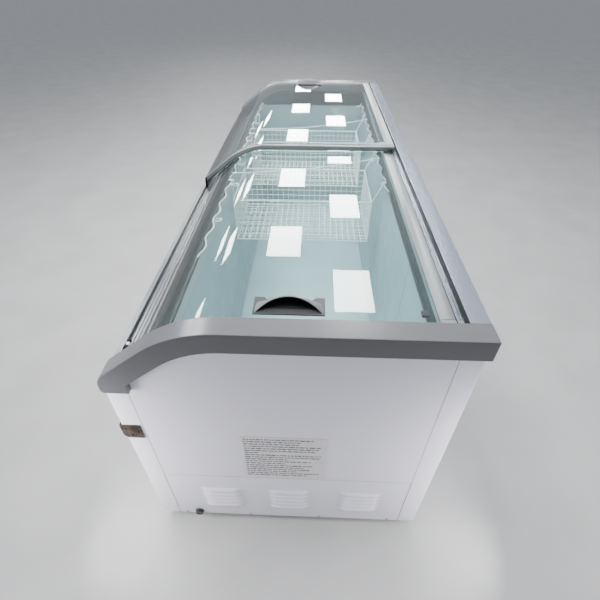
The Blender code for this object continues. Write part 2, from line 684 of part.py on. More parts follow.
def controls():
    """A shallow recess in the front panel with a thermostat knob and a rocker switch."""
    face = FRONT - GAP
    width, height = CONTROL_SIZE

    def control(name, inset, front, back, material=None):
        half_x, half_z = width / 2 - inset, height / 2 - inset
        return box(name, (CONTROL_X - half_x, front, CONTROL_Z - half_z),
                   (CONTROL_X + half_x, back, CONTROL_Z + half_z), material)

    plate = control("control_box", 0, face - 0.0022, face, GREY)
    join(plate, control("body", CONTROL_RIM, face - 0.001, face + CONTROL_DEPTH + 0.006))
    cut(plate, control("recess", CONTROL_RIM + 0.004, face - 0.010, face + CONTROL_DEPTH))
    back = face + CONTROL_DEPTH - GAP
    grip = [(0.0, 0.018), (0.013, 0.018), (0.014, 0.016), (0.015, 0.002), (0.017, 0.0), (0.0, 0.0)]
    centre = Vector((CONTROL_X - 0.025, back, CONTROL_Z))
    knob = turned("thermostat_knob", grip, centre, (0, -1, 0), DARK, 24)
    pointer = box("pointer", centre + Vector((-0.0015, -0.019, -0.002)),
                  centre + Vector((0.0015, -0.016, 0.013)), None)
    join(knob, pointer)
    carrier("thermostat_turn", centre, [knob])
    tip = back - 0.012
    half = 0.013
    side = [(tip, CONTROL_Z - half), (tip + 0.003, CONTROL_Z), (tip, CONTROL_Z + half),
            (back - 0.003, CONTROL_Z + half - 0.002), (back - 0.003, CONTROL_Z - half + 0.002)]
    middle = CONTROL_X + 0.028
    rocker = outline("power_rocker", side, "X", middle - 0.008, middle + 0.008, BLACK)
    carrier("rocker_pivot", (middle, back - 0.006, CONTROL_Z), [rocker])


def drain_and_gland():
    """A drain tube from the tank floor to a plug under the end panel, and the empty cable gland."""
    path = [DRAIN_START, (0.590, -0.240, 0.150), (0.625, -0.240, 0.150), (0.650, -0.284, 0.105),
            (0.660, -0.345, 0.064), (0.720, -0.350, 0.062), (0.900, -0.350, 0.062), (0.960, -0.330, 0.0625),
            (0.990, PLUG.y, PLUG.z), (END_FACE - 0.012, PLUG.y, PLUG.z)]
    tube("drain_tube", path, DRAIN_RADIUS, WHITE)
    neck = DRAIN_SPACE - GAP
    plug = [(0.0, 0.010), (0.012, 0.010), (0.014, 0.008), (0.014, GAP), (neck, GAP), (neck, -0.010),
            (0.0, -0.010)]
    turned("drain_plug", plug, PLUG, (1, 0, 0), BLACK, 24)
    gland = [(0.003, 0.0045), (0.012, 0.0045), (0.014, 0.003), (0.014, GAP), (GLAND_RADIUS, GAP),
             (GLAND_RADIUS, -0.018), (0.003, -0.018)]
    turned("cable_gland", gland, GLAND, (0, 1, 0), BLACK, 24)


# ---------------------------------------------------------------- assembly

def main():
    body_shells()
    tank_and_foam()
    caps_and_rails()
    lid("right", LOWER_DEPTH, LOWER_LID_FRONT, LOWER_LID_REAR)
    lid("left", UPPER_DEPTH, UPPER_LID_FRONT, UPPER_LID_REAR)
    for side in BASKET_X:
        basket(side)
    compressor_set()
    fan_set()
    controls()
    drain_and_gland()
    for end, x in (("right", CASTOR_X), ("left", -CASTOR_X)):
        for row, y in (("front", -CASTOR_Y), ("rear", CASTOR_Y)):
            castor(f"{end}_{row}_castor", x, y)


main()
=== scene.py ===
"""Looks of the sliding curved-glass chest freezer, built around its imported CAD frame."""
import random
from math import cos, exp, pi, radians, sin, sqrt, tan

import bmesh
import bpy
from mathutils import Matrix, Vector


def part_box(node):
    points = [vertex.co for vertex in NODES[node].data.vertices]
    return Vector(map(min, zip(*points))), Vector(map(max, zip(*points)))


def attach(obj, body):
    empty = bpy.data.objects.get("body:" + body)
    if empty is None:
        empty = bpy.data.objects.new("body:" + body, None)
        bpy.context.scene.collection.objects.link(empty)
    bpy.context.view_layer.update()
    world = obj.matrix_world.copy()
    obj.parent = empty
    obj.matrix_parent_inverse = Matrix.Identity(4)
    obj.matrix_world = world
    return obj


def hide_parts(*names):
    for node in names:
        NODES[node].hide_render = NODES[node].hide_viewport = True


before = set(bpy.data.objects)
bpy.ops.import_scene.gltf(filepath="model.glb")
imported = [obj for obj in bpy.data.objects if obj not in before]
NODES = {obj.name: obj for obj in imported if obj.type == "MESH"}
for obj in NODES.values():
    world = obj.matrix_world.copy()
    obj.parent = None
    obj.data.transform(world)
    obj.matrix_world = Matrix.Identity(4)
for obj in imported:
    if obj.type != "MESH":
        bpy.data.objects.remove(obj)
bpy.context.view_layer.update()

# ------------------------------------------------------------------ camera and studio

CAMERA_PLACE = Vector((1.5835, 0.0524, 1.4080))
CAMERA_AIM = Vector((-0.76299, -0.02559, -0.64590))
CAMERA_ROLL = radians(-0.254)
CAMERA_LENS = 23.94


def make_camera():
    data = bpy.data.cameras.new("camera")
    data.lens = CAMERA_LENS
    data.sensor_width = 36.0
    camera = linked("camera", data)
    aim = CAMERA_AIM.normalized()
    right = aim.cross(Vector((0, 0, 1))).normalized()
    up = right.cross(aim)
    level = Matrix((right, up, -aim)).transposed()
    turn = level.to_4x4() @ Matrix.Rotation(-CAMERA_ROLL, 4, "Z")
    camera.matrix_world = Matrix.Translation(CAMERA_PLACE) @ turn
    bpy.context.scene.camera = camera


PANEL_HEIGHT = 2.65
PANEL_SIZE = (0.62, 0.36)
PANEL_STEP = 1.70
PANEL_ROWS = 5
PANEL_POWER = 32
PANEL_COLUMNS = ((-0.26, -2.20), (0.44, -1.35), (-1.55, -0.90), (-2.35, -1.70))
OVERHEAD_PLACE = (-0.1, -0.35, 3.4)
OVERHEAD_AIM = (-0.1, 0, 0.4)
OVERHEAD_SIZE = (2.2, 2.0)
OVERHEAD_POWER = 240
WASH_SIZE = (0.12, 0.6)
WASH_SPREAD = radians(150)
WASHES = (("front_wash", (1.15, -0.63, 0.46), 5.4, (1.05, -0.3, 0.40)),
          ("rear_wash", (1.16, 0.65, 0.40), 4.2, (1.05, 0.3, 0.35)))
ROOM_ZENITH = (0.74, 0.78, 0.84)
ROOM_AHEAD = (0.40, 0.43, 0.46)
ROOM_BEHIND = (0.13, 0.13, 0.15)


def area_light(name, place, size, power, aim=(0, 0, 0), spread=pi):
    data = bpy.data.lights.new(name, "AREA")
    data.shape = "RECTANGLE"
    data.size, data.size_y = size
    data.energy = power
    data.spread = spread
    lamp = linked(name, data)
    lamp.location = place
    lamp.rotation_euler = (Vector(aim) - Vector(place)).to_track_quat("-Z", "Y").to_euler()
    return lamp


def make_studio():
    """Pale floor, ceiling panels seen only as reflections, an overhead lamp and two low side lamps."""
    bpy.ops.mesh.primitive_plane_add(size=60)
    floor = bpy.context.object
    floor.name = "floor"
    floor.data.materials.append(surface("floor", (0.47, 0.47, 0.47), 0.6, grain=0.0))
    make_world()
    for column, (y, first) in enumerate(PANEL_COLUMNS):
        for row in range(PANEL_ROWS):
            place = (first - PANEL_STEP * row, y, PANEL_HEIGHT)
            lamp = area_light(f"panel_{column}_{row}", place, PANEL_SIZE, PANEL_POWER)
            lamp.rotation_euler = (0, 0, 0)
            lamp.visible_diffuse = False
    overhead = area_light("overhead", OVERHEAD_PLACE, OVERHEAD_SIZE, OVERHEAD_POWER, OVERHEAD_AIM)
    overhead.visible_glossy = False
    for name, place, power, aim in WASHES:
        lamp = area_light(name, place, WASH_SIZE, power, aim, WASH_SPREAD)
        lamp.visible_glossy = False
        lamp.visible_camera = False


def make_world():
    """A plain room with a pale ceiling, darker towards the machine end."""
    world = bpy.data.worlds.new("studio")
    world.use_nodes = True
    tree = world.node_tree
    split = tree.nodes.new("ShaderNodeSeparateXYZ")
    tree.links.new(tree.nodes.new("ShaderNodeTexCoord").outputs["Generated"], split.inputs["Vector"])
    walls = blended(tree, split.outputs["X"], (-0.6, 0.6), ROOM_AHEAD, ROOM_BEHIND)
    room = blended(tree, split.outputs["Z"], (0.15, 0.95), walls, ROOM_ZENITH)
    room = blended(tree, split.outputs["X"], (0.0, 0.75), room, ROOM_BEHIND)
    tree.links.new(room, tree.nodes["Background"].inputs["Color"])
    bpy.context.scene.world = world


def blended(tree, value, span, first, second):
    """A colour that runs from first to second while value runs over span."""
    share = tree.nodes.new("ShaderNodeMapRange")
    share.interpolation_type = "SMOOTHSTEP"
    share.inputs["From Min"].default_value, share.inputs["From Max"].default_value = span
    tree.links.new(value, share.inputs["Value"])
    mix = tree.nodes.new("ShaderNodeMix")
    mix.data_type = "RGBA"
    tree.links.new(share.outputs["Result"], mix.inputs["Factor"])
    for name, colour in (("A", first), ("B", second)):
        if isinstance(colour, tuple):
            mix.inputs[name].default_value = (*colour, 1)
        else:
            tree.links.new(colour, mix.inputs[name])
    return mix.outputs["Result"]


# ------------------------------------------------------------------ materials

class Nodes:
    """A material's node tree, with short calls to add and join nodes."""

    def __init__(self, name, colour, roughness, metallic=0.0):
        self.material = bpy.data.materials.new(name)
        self.material.use_nodes = True
        self.tree = self.material.node_tree
        self.shader = self.tree.nodes["Principled BSDF"]
        self.set("Base Color", (*colour, 1))
        self.set("Roughness", roughness)
        self.set("Metallic", metallic)
        self.place = self.add("ShaderNodeTexCoord").outputs["Object"]

    def set(self, socket, value):
        self.shader.inputs[socket].default_value = value

    def add(self, kind, **inputs):
        node = self.tree.nodes.new(kind)
        for key, value in inputs.items():
            node.inputs[key.replace("_", " ")].default_value = value
        return node

    def join(self, source, target):
        self.tree.links.new(source, target)

    def scaled(self, scale):
        mapping = self.add("ShaderNodeMapping")
        mapping.inputs["Scale"].default_value = scale
        self.join(self.place, mapping.inputs["Vector"])
        return mapping.outputs["Vector"]

    def noise(self, scale, detail=3.0, stretch=(1, 1, 1), roughness=0.5):
        node = self.add("ShaderNodeTexNoise", Scale=scale, Detail=detail, Roughness=roughness)
        self.join(self.scaled(stretch), node.inputs["Vector"])
        return node.outputs["Fac"]

    def ramp(self, source, stops):
        node = self.add("ShaderNodeValToRGB")
        while len(node.color_ramp.elements) < len(stops):
            node.color_ramp.elements.new(0.5)
        for element, (place, colour) in zip(node.color_ramp.elements, stops):
            element.position = place
            element.color = (*colour, 1)
        self.join(source, node.inputs["Fac"])
        return node.outputs["Color"]

    def span(self, source, low, high, from_low=0.3, from_high=0.7):
        node = self.add("ShaderNodeMapRange")
        for key, value in (("From Min", from_low), ("From Max", from_high), ("To Min", low),
                           ("To Max", high)):
            node.inputs[key].default_value = value
        self.join(source, node.inputs["Value"])
        return node.outputs["Result"]

    def colour(self, source, low, high, from_low=0.35, from_high=0.65):
        tone = self.ramp(source, ((from_low, low), (from_high, high)))
        self.join(tone, self.shader.inputs["Base Color"])

    def rough(self, source, *spans):
        self.join(self.span(source, *spans), self.shader.inputs["Roughness"])

    def cells(self, scale):
        node = self.add("ShaderNodeTexVoronoi", Scale=scale)
        self.join(self.place, node.inputs["Vector"])
        return node.outputs

    def bump(self, source, strength, distance=0.001):
        node = self.add("ShaderNodeBump", Strength=strength, Distance=distance)
        self.join(source, node.inputs["Height"])
        if self.shader.inputs["Normal"].is_linked:
            self.join(self.shader.inputs["Normal"].links[0].from_socket, node.inputs["Normal"])
        self.join(node.outputs["Normal"], self.shader.inputs["Normal"])


def shade(colour, factor):
    return tuple(min(1.0, channel * factor) for channel in colour)


def surface(name, colour, roughness, metallic=0.0, grain=0.15, grain_scale=600, cloud=0.05,
            cloud_scale=4.0, wear=(0.85, 1.2), shine=0.5):
    """A moulded or painted surface: broad tone changes, roughness patches and a fine grain."""
    nodes = Nodes(name, colour, roughness, metallic)
    nodes.set("Specular IOR Level", shine)
    broad = nodes.noise(cloud_scale, 4.0)
    nodes.colour(broad, shade(colour, 1 - cloud), shade(colour, 1 + cloud))
    patches = nodes.noise(cloud_scale * 6, 5.0)
    nodes.rough(patches, roughness * wear[0], roughness * wear[1])
    if grain:
        nodes.bump(nodes.noise(grain_scale, 2.0), grain, 0.0004)
    return nodes.material


def enamel():
    """White sheet-steel enamel: faint lilac tone, orange-peel ripple, light dust near the floor."""
    colour = (0.80, 0.79, 0.89)
    nodes = Nodes("white_enamel", colour, 0.24)
    nodes.set("Coat Weight", 0.35)
    nodes.set("Coat Roughness", 0.08)
    cloud = nodes.noise(2.2, 4.0)
    tone = nodes.ramp(cloud, ((0.25, shade(colour, 0.985)), (0.75, shade(colour, 1.01))))
    split = nodes.add("ShaderNodeSeparateXYZ")
    nodes.join(nodes.place, split.inputs["Vector"])
    low = nodes.span(split.outputs["Z"], 1.0, 0.0, 0.04, 0.16)
    smudge = nodes.noise(9.0, 6.0, (1, 1, 2.5), 0.62)
    dust = nodes.add("ShaderNodeMath")
    dust.operation = "MULTIPLY"
    nodes.join(low, dust.inputs[0])
    nodes.join(nodes.span(smudge, 0.0, 0.30, 0.30, 0.85), dust.inputs[1])
    mix = nodes.add("ShaderNodeMix")
    mix.data_type = "RGBA"
    nodes.join(dust.outputs[0], mix.inputs["Factor"])
    nodes.join(tone, mix.inputs["A"])
    mix.inputs["B"].default_value = (0.55, 0.54, 0.52, 1)
    nodes.join(mix.outputs["Result"], nodes.shader.inputs["Base Color"])
    nodes.rough(nodes.noise(5, 3.0), 0.22, 0.28, 0.2, 0.8)
    nodes.bump(nodes.noise(260, 2.0), 0.06, 0.0004)
    nodes.bump(nodes.noise(3.5, 1.0), 0.08, 0.002)
    return nodes.material


def brushed(name, colour, roughness, along="X", streak=0.04):
    """Brushed or extruded aluminium, with fine lines along one axis."""
    nodes = Nodes(name, colour, roughness, 1.0)
    nodes.set("Anisotropic", 0.45)
    stretch = {"X": (0.02, 1, 1), "Y": (1, 0.02, 1), "Z": (1, 1, 0.02)}[along]
    lines = nodes.noise(900, 3.0, stretch)
    broad = nodes.noise(5, 4.0, stretch)
    nodes.colour(broad, shade(colour, 1 - streak), shade(colour, 1 + streak))
    nodes.rough(lines, roughness * 0.92, roughness * 1.08)
    nodes.bump(lines, 0.015, 0.0003)
    return nodes.material


def glass(name, tint):
    """Clear sheet glass with a faint tint that lets lamps through, and a few dull smears."""
    nodes = Nodes(name, tint, 0.0)
    nodes.set("Transmission Weight", 1.0)
    nodes.set("IOR", 1.45)
    smear = nodes.noise(5, 5.0, (1, 2.2, 1), 0.6)
    nodes.rough(smear, 0.0, 0.035, 0.52, 0.75)
    nodes.colour(smear, shade(tint, 0.99), tint)
    clear = nodes.add("ShaderNodeBsdfTransparent")
    clear.inputs["Color"].default_value = (*tint, 1)
    path = nodes.add("ShaderNodeLightPath")
    mix = nodes.add("ShaderNodeMixShader")
    nodes.join(path.outputs["Is Shadow Ray"], mix.inputs["Fac"])
    nodes.join(nodes.shader.outputs["BSDF"], mix.inputs[1])
    nodes.join(clear.outputs["BSDF"], mix.inputs[2])
    output = next(node for node in nodes.tree.nodes if node.type == "OUTPUT_MATERIAL")
    nodes.join(mix.outputs["Shader"], output.inputs["Surface"])
    return nodes.material


def liner():
    """Pale painted aluminium liner with a fine stucco emboss and light frost marks."""
    colour = (0.255, 0.35, 0.378)
    nodes = Nodes("liner", colour, 0.36, 0.15)
    frost = nodes.noise(3.2, 6.0, (1, 1, 1.6), 0.6)
    nodes.colour(frost, shade(colour, 0.94), shade(colour, 1.06))
    nodes.rough(nodes.noise(20, 4.0), 0.30, 0.46)
    cells = nodes.cells(170.0)
    nodes.bump(cells["Distance"], 0.10, 0.0006)
    return nodes.material


def galvanised():
    """Zinc-coated steel with spangle."""
    colour = (0.52, 0.54, 0.55)
    nodes = Nodes("galvanised", colour, 0.42, 1.0)
    cells = nodes.cells(55.0)
    split = nodes.add("ShaderNodeSeparateColor")
    nodes.join(cells["Color"], split.inputs["Color"])
    nodes.colour(split.outputs["Red"], shade(colour, 0.82), shade(colour, 1.15), 0.1, 0.9)
    nodes.rough(split.outputs["Green"], 0.34, 0.52, 0, 1)
    nodes.bump(nodes.noise(140, 3.0), 0.05, 0.0004)
    return nodes.material


def worn_bronze():
    """Brown plated steel, rubbed at places to a warmer metal."""
    colour = (0.040, 0.027, 0.018)
    nodes = Nodes("bronze", colour, 0.50, 0.35)
    wear = nodes.noise(55, 6.0, roughness=0.65)
    nodes.colour(wear, shade(colour, 0.7), (0.085, 0.056, 0.036), 0.42, 0.68)
    nodes.rough(wear, 0.50, 0.30)
    nodes.bump(wear, 0.12, 0.0004)
    return nodes.material


def copper():
    """Copper pipe with darker stains."""
    colour = (0.70, 0.36, 0.23)
    nodes = Nodes("copper", colour, 0.30, 1.0)
    stain = nodes.noise(24, 5.0)
    nodes.colour(stain, (0.34, 0.17, 0.11), colour, 0.30, 0.55)
    nodes.rough(stain, 0.48, 0.24)
    nodes.bump(nodes.noise(300, 2.0), 0.05, 0.0003)
    return nodes.material


def paper_label():
    """A pale film label. Its lines are separate printed bars, not lettering."""
    nodes = Nodes("label", (0.74, 0.73, 0.75), 0.42)
    nodes.colour(nodes.noise(30, 4.0), (0.70, 0.69, 0.71), (0.77, 0.76, 0.78))
    nodes.rough(nodes.noise(90, 3.0), 0.36, 0.50)
    nodes.bump(nodes.noise(12, 3.0), 0.08, 0.0008)
    return nodes.material


def foam_block():
    """Cellular insulation foam."""
    nodes = Nodes("foam", (0.80, 0.70, 0.42), 0.9)
    cells = nodes.cells(220.0)
    nodes.colour(nodes.noise(8, 4.0), (0.70, 0.60, 0.34), (0.84, 0.75, 0.50))
    nodes.bump(cells["Distance"], 0.5, 0.001)
    return nodes.material


def make_materials():
    return {
        "enamel": enamel(),
        "cap": surface("cap_plastic", (0.124, 0.126, 0.137), 0.25, grain=0.06, grain_scale=900,
                       wear=(0.96, 1.06)),
        "frame": surface("lid_frame", (0.25, 0.27, 0.275), 0.32, 0.25, grain=0.06),
        "strip": brushed("lid_strip", (0.46, 0.50, 0.50), 0.40),
        # Near-black plastic, darkened further as painted shade inside the tank's rim.
        "collar": surface("collar_plastic", (0.024, 0.029, 0.028), 0.38, grain=0.10, cloud=0.12,
                          cloud_scale=7, shine=0.12),
        "gasket": surface("gasket", (0.018, 0.018, 0.020), 0.55, grain=0.2, cloud=0.2, shine=0.12),
        "silver": brushed("brushed_aluminium", (0.72, 0.78, 0.90), 0.26),
        "rail": brushed("rail_aluminium", (0.15, 0.16, 0.168), 0.36),
        "rail_wire": surface("hanging_wire", (0.44, 0.48, 0.48), 0.32, grain=0.05, cloud=0.08,
                             cloud_scale=25),
        "trim": surface("wall_trim", (0.34, 0.37, 0.37), 0.40, grain=0.08, cloud=0.06, cloud_scale=9),
        # Near-black painted shade, used for the front track's inner part, the rear track's step faces and the
        # hanging wires' straight runs.
        "painted_shade": surface("painted_shade_black", (0.032, 0.040, 0.040), 0.50, grain=0.12, cloud=0.12, cloud_scale=15,
                        shine=0.12),
        # Brownish strip colour: a painted reflection of the front rail's aluminium inner lip, seen through the
        # glass.
        "painted_reflection": surface("painted_lip_reflection", (0.16, 0.145, 0.125), 0.48, grain=0.12, cloud=0.12, cloud_scale=18),
        "joint": surface("panel_joint", (0.16, 0.16, 0.17), 0.60, grain=0.1, cloud=0.25, cloud_scale=12),
        "liner": liner(),
        "glass": glass("lid_glass", (0.90, 0.975, 0.965)),
        "wire": surface("coated_wire", (0.80, 0.84, 0.82), 0.30, grain=0.05, cloud_scale=30),
        "zinc": galvanised(),
        "bronze": worn_bronze(),
        "screw": brushed("screw_steel", (0.66, 0.66, 0.66), 0.28, "Z", 0.15),
        "copper": copper(),
        "black": surface("black_enamel", (0.018, 0.018, 0.020), 0.34, grain=0.12, cloud=0.25, cloud_scale=12),
        "dark": surface("dark_plastic", (0.035, 0.036, 0.040), 0.42, grain=0.2, cloud=0.15, cloud_scale=20),
        # The handle's plastic in two tones: this lighter grey on the hood's outside; its inside and plate get
        # the darker plastic as painted shade.
        "handle": surface("handle_plastic", (0.15, 0.155, 0.17), 0.36, grain=0.25, grain_scale=1500,
                          cloud=0.08, cloud_scale=25),
        "seam": surface("liner_seam", (0.30, 0.40, 0.43), 0.5, grain=0.1, cloud=0.15, cloud_scale=20),
        "label": paper_label(),
        "ink": surface("label_ink", (0.07, 0.065, 0.075), 0.5, grain=0.05, cloud=0.3, cloud_scale=150),
        "foam": foam_block(),
        "hose": surface("hose_plastic", (0.70, 0.70, 0.66), 0.35, grain=0.1, cloud=0.08, cloud_scale=15),
        "tyre": surface("wheel_rubber", (0.055, 0.055, 0.057), 0.55, grain=0.3, cloud=0.2, cloud_scale=60),
        "white_plastic": surface("white_plastic", (0.72, 0.73, 0.74), 0.36, grain=0.1, cloud=0.04),
    }


# ------------------------------------------------------------------ building blocks

SIDES = (("right", 1), ("left", -1))


def linked(name, data):
    """A new object, linked to the scene."""
    obj = bpy.data.objects.new(name, data)
    bpy.context.scene.collection.objects.link(obj)
    return obj


def keep(obj, material, body="cabinet", *replaced):
    """Gives a finished piece its material and the body it moves with."""
    obj.data.materials.clear()
    obj.data.materials.append(MATS[material])
    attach(obj, body)
    if replaced:
        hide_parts(*replaced)
    return obj


def dress(name, material):
    """A CAD node that keeps its shape gets a detailed material."""
    node = NODES[name]
    node.data.materials.clear()
    node.data.materials.append(MATS[material])


def applied(*objects):
    """The objects' meshes, with their modifiers applied."""
    bpy.context.view_layer.update()
    graph = bpy.context.evaluated_depsgraph_get()
    return [bpy.data.meshes.new_from_object(obj.evaluated_get(graph)) for obj in objects]


def mesh_object(name, sheet, angle=32, outward=True):
    """Turns a bmesh into a linked, smooth-shaded object."""
    if outward:
        bmesh.ops.recalc_face_normals(sheet, faces=sheet.faces)
    mesh = bpy.data.meshes.new(name)
    sheet.to_mesh(mesh)
    sheet.free()
    mesh.shade_smooth()
    mesh.set_sharp_from_angle(angle=radians(angle))
    return linked(name, mesh)


def joined(name, objects):
    """Joins several objects into one mesh, with their modifiers applied."""
    sheet = bmesh.new()
    for obj, mesh in zip(objects, applied(*objects)):
        mesh.transform(obj.matrix_world)
        sheet.from_mesh(mesh)
        bpy.data.meshes.remove(mesh)
        bpy.data.objects.remove(obj)
    return mesh_object(name, sheet, outward=False)


def carve(obj, cutters):
    """Cuts pieces out of an object and applies the cut."""
    for cutter in cutters:
        dent = obj.modifiers.new("cut", "BOOLEAN")
        dent.operation = "DIFFERENCE"
        dent.solver = "EXACT"
        dent.object = cutter
    obj.data, = applied(obj)
    obj.modifiers.clear()
    for cutter in cutters:
        bpy.data.objects.remove(cutter)
    return obj


def rounded(obj, width, segments=2, angle=30):
    """Rounds the sharp edges with a bevel."""
    edge = obj.modifiers.new("edge", "BEVEL")
    edge.width = width
    edge.segments = segments
    edge.limit_method = "ANGLE"
    edge.angle_limit = radians(angle)
    edge.harden_normals = False
    return obj


def ease(value):
    """A smooth step from 0 to 1."""
    value = max(0.0, min(1.0, value))
    return value * value * (3 - 2 * value)


def arc(centre, radius, start, sweep, steps):
    """Points along an arc, both ends included."""
    turns = [start + sweep * step / steps for step in range(steps + 1)]
    return [(centre[0] + radius * cos(turn), centre[1] + radius * sin(turn)) for turn in turns]


def rounded_rectangle(left, right, bottom, top, radius, steps=5):
    inner_left, inner_right = left + radius, right - radius
    inner_bottom, inner_top = bottom + radius, top - radius
    centres = ((inner_right, inner_top), (inner_left, inner_top), (inner_left, inner_bottom),
               (inner_right, inner_bottom))
    points = []
    for quarter, centre in enumerate(centres):
        points += arc(centre, radius, quarter * pi / 2, pi / 2, steps)
    return points


def bridge(sheet, first, second):
    """Faces between two rings of points; a ring of one point is a tip."""
    steps = max(len(first), len(second))
    for i in range(steps):
        j = (i + 1) % steps
        quad = [ring[k % len(ring)] for ring, k in ((first, i), (first, j), (second, j), (second, i))]
        corners = list(dict.fromkeys(quad))
        if len(corners) > 2:
            sheet.faces.new(corners)


def slab(sheet, near, far):
    """A closed solid between two outlines of equal length."""
    sheet.faces.new(near)
    sheet.faces.new(far[::-1])
    bridge(sheet, near, far)


def prism(name, outline, low, high, axis="X"):
    """An outline made thick along an axis. The outline is in the other two axes, in XYZ order."""
    order = {"X": (2, 0, 1), "Y": (0, 2, 1), "Z": (0, 1, 2)}[axis]
    sheet = bmesh.new()
    rings = []
    for along in (low, high):
        points = [(u, v, along) for u, v in outline]
        rings.append([sheet.verts.new([point[i] for i in order]) for point in points])
    slab(sheet, *rings)
    return mesh_object(name, sheet)


def bar(name, outline, ends, bevel, material, body="cabinet", *replaced):
    """A rounded prism along X, kept as a piece."""
    return keep(rounded(prism(name, outline, *ends), bevel), material, body, *replaced)


def block(name, low, high, bevel=0.0008):
    """A box with rounded edges."""
    outline = [(low[0], low[1]), (high[0], low[1]), (high[0], high[1]), (low[0], high[1])]
    obj = prism(name, outline, low[2], high[2], "Z")
    return rounded(obj, bevel) if bevel else obj


def ringed(name, rings, capped=False):
    """A turned solid through rings of points. Two open ends are joined, or the first is capped."""
    sheet = bmesh.new()
    rings = [[sheet.verts.new(point) for point in ring] for ring in rings]
    for first, second in zip(rings, rings[1:]):
        bridge(sheet, first, second)
    if capped:
        sheet.faces.new(rings[0][::-1])
    elif len(rings[0]) > 1 and len(rings[-1]) > 1:
        bridge(sheet, rings[-1], rings[0])
    return mesh_object(name, sheet, 40)


def lathe(name, profile, place, axis, steps=48):
    """A turned piece from (radius, height) points."""
    turn = Vector(axis).to_track_quat("Z", "Y").to_matrix()
    rings = []
    for radius, height in profile:
        ring = arc((0, 0), radius, 0, 2 * pi, steps)[:-1] if radius > 1e-6 else [(radius, 0)]
        rings.append([Vector(place) + turn @ Vector((*point, height)) for point in ring])
    return ringed(name, rings)


def ribbed_cap(name, levels, radius, steps, groove, point):
    """A capped turned piece from (share of radius, height) levels, with grooves down its side."""
    rings = []
    for share, level in levels:
        ring = []
        for step in range(steps if share else 1):
            turn = 2 * pi * step / steps
            reach = radius * share - (groove(step) if 0.82 < share < 0.95 else 0.0)
            ring.append(point(reach * cos(turn), reach * sin(turn), level))
        rings.append(ring)
    return ringed(name, rings, capped=True)


def thick_sheet(name, rows, thickness, offset):
    """A curved sheet through rows of points, made thick to one side."""
    sheet = bmesh.new()
    grid = [[sheet.verts.new(point) for point in row] for row in rows]
    for first, second in zip(grid, grid[1:]):
        for j in range(len(first) - 1):
            sheet.faces.new((first[j], first[j + 1], second[j + 1], second[j]))
    obj = mesh_object(name, sheet, 60)
    skin = obj.modifiers.new("skin", "SOLIDIFY")
    skin.thickness = thickness
    skin.offset = offset
    return obj


def wires(name, paths, radius, closed=False, sides=2, smooth=False):
    """Several round wires as one mesh."""
    curve = bpy.data.curves.new(name, "CURVE")
    curve.dimensions = "3D"
    curve.bevel_depth = radius
    curve.bevel_resolution = sides
    curve.use_fill_caps = True
    curve.resolution_u = 6
    for path in paths:
        spline = curve.splines.new("NURBS" if smooth else "POLY")
        spline.points.add(len(path) - 1)
        for point, place in zip(spline.points, path):
            point.co = (*place, 1)
        if smooth:
            spline.order_u = 3
            spline.use_endpoint_u = True
        spline.use_cyclic_u = closed
    drawn = linked(name + "_curve", curve)
    mesh, = applied(drawn)
    bpy.data.objects.remove(drawn)
    sheet = bmesh.new()
    sheet.from_mesh(mesh)
    bmesh.ops.remove_doubles(sheet, verts=sheet.verts, dist=0.00001)
    bpy.data.meshes.remove(mesh)
    return mesh_object(name, sheet, 60)


def screw_head(name, place, axis, radius, material="screw"):
    """A domed cross-head screw."""
    profile = [(0.0, 0.55 * radius), (0.45 * radius, 0.52 * radius), (0.8 * radius, 0.36 * radius),
               (radius, 0.10 * radius), (radius, 0.0), (0.0, 0.0)]
    head = lathe(name, profile, place, axis, 20)
    turn = Vector(axis).to_track_quat("Z", "Y").to_matrix().to_4x4()
    base = Matrix.Translation(Vector(place)) @ turn @ Matrix.Translation((0, 0, 0.55 * radius))
    half = Vector((0.62 * radius, 0.13 * radius, 0.3 * radius))
    slots = []
    for spin in (0.4, 0.4 + pi / 2):
        slots.append(block("slot", -half, half, 0))
        slots[-1].matrix_world = base @ Matrix.Rotation(spin, 4, "Z")
    keep(carve(head, slots), material)


# ------------------------------------------------------------------ the curve of the lids

CAP_LOW, CAP_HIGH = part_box("right_end_cap")
TOP = CAP_HIGH[2]
CAP_INNER = CAP_LOW[0]
CAP_BAND = CAP_HIGH[0] - CAP_INNER
END_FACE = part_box("right_end_panel")[1][0]
BODY_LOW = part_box("front_outer_panel")[0]
REAR_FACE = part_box("rear_outer_panel")[1][1]
TANK_LOW, TANK_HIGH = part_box("inner_tank")
SHEET = 0.0012
TANK_FRONT, TANK_REAR = TANK_LOW[1] + SHEET, TANK_HIGH[1] - SHEET
TANK_END = TANK_HIGH[0] - SHEET
CURVE_Y = -0.120
CURVE_RADIUS = 0.270
CURVE_ANGLE = radians(38)
NOSE_RADIUS = 0.048
FOOT_RADIUS = 0.010
CAP_TOE = -0.338
TOE_EDGE = 0.0015


def curve_line(depth, rear, front, steps=28):
    """Points of the line a given depth under the caps' top, from rear to front."""
    radius = CURVE_RADIUS - depth
    centre = TOP - CURVE_RADIUS
    points = [(rear, TOP - depth)]
    for step in range(steps + 1):
        turn = CURVE_ANGLE * step / steps
        points.append((CURVE_Y - radius * sin(turn), centre + radius * cos(turn)))
    last_y, last_z = points[-1]
    if front < last_y:
        points.append((front, last_z - (last_y - front) * tan(CURVE_ANGLE)))
        return points
    kept = [point for point in points if point[0] > front]
    kept.append((front, centre + sqrt(radius ** 2 - (front - CURVE_Y) ** 2)))
    return kept


def curve_height(depth, rear, y):
    """Height of the line a given depth under the caps' top, at y."""
    return curve_line(depth, rear, y)[-1][1]


def curved_band(top, bottom, rear, front):
    return curve_line(top, rear, front) + curve_line(bottom, rear, front)[::-1]


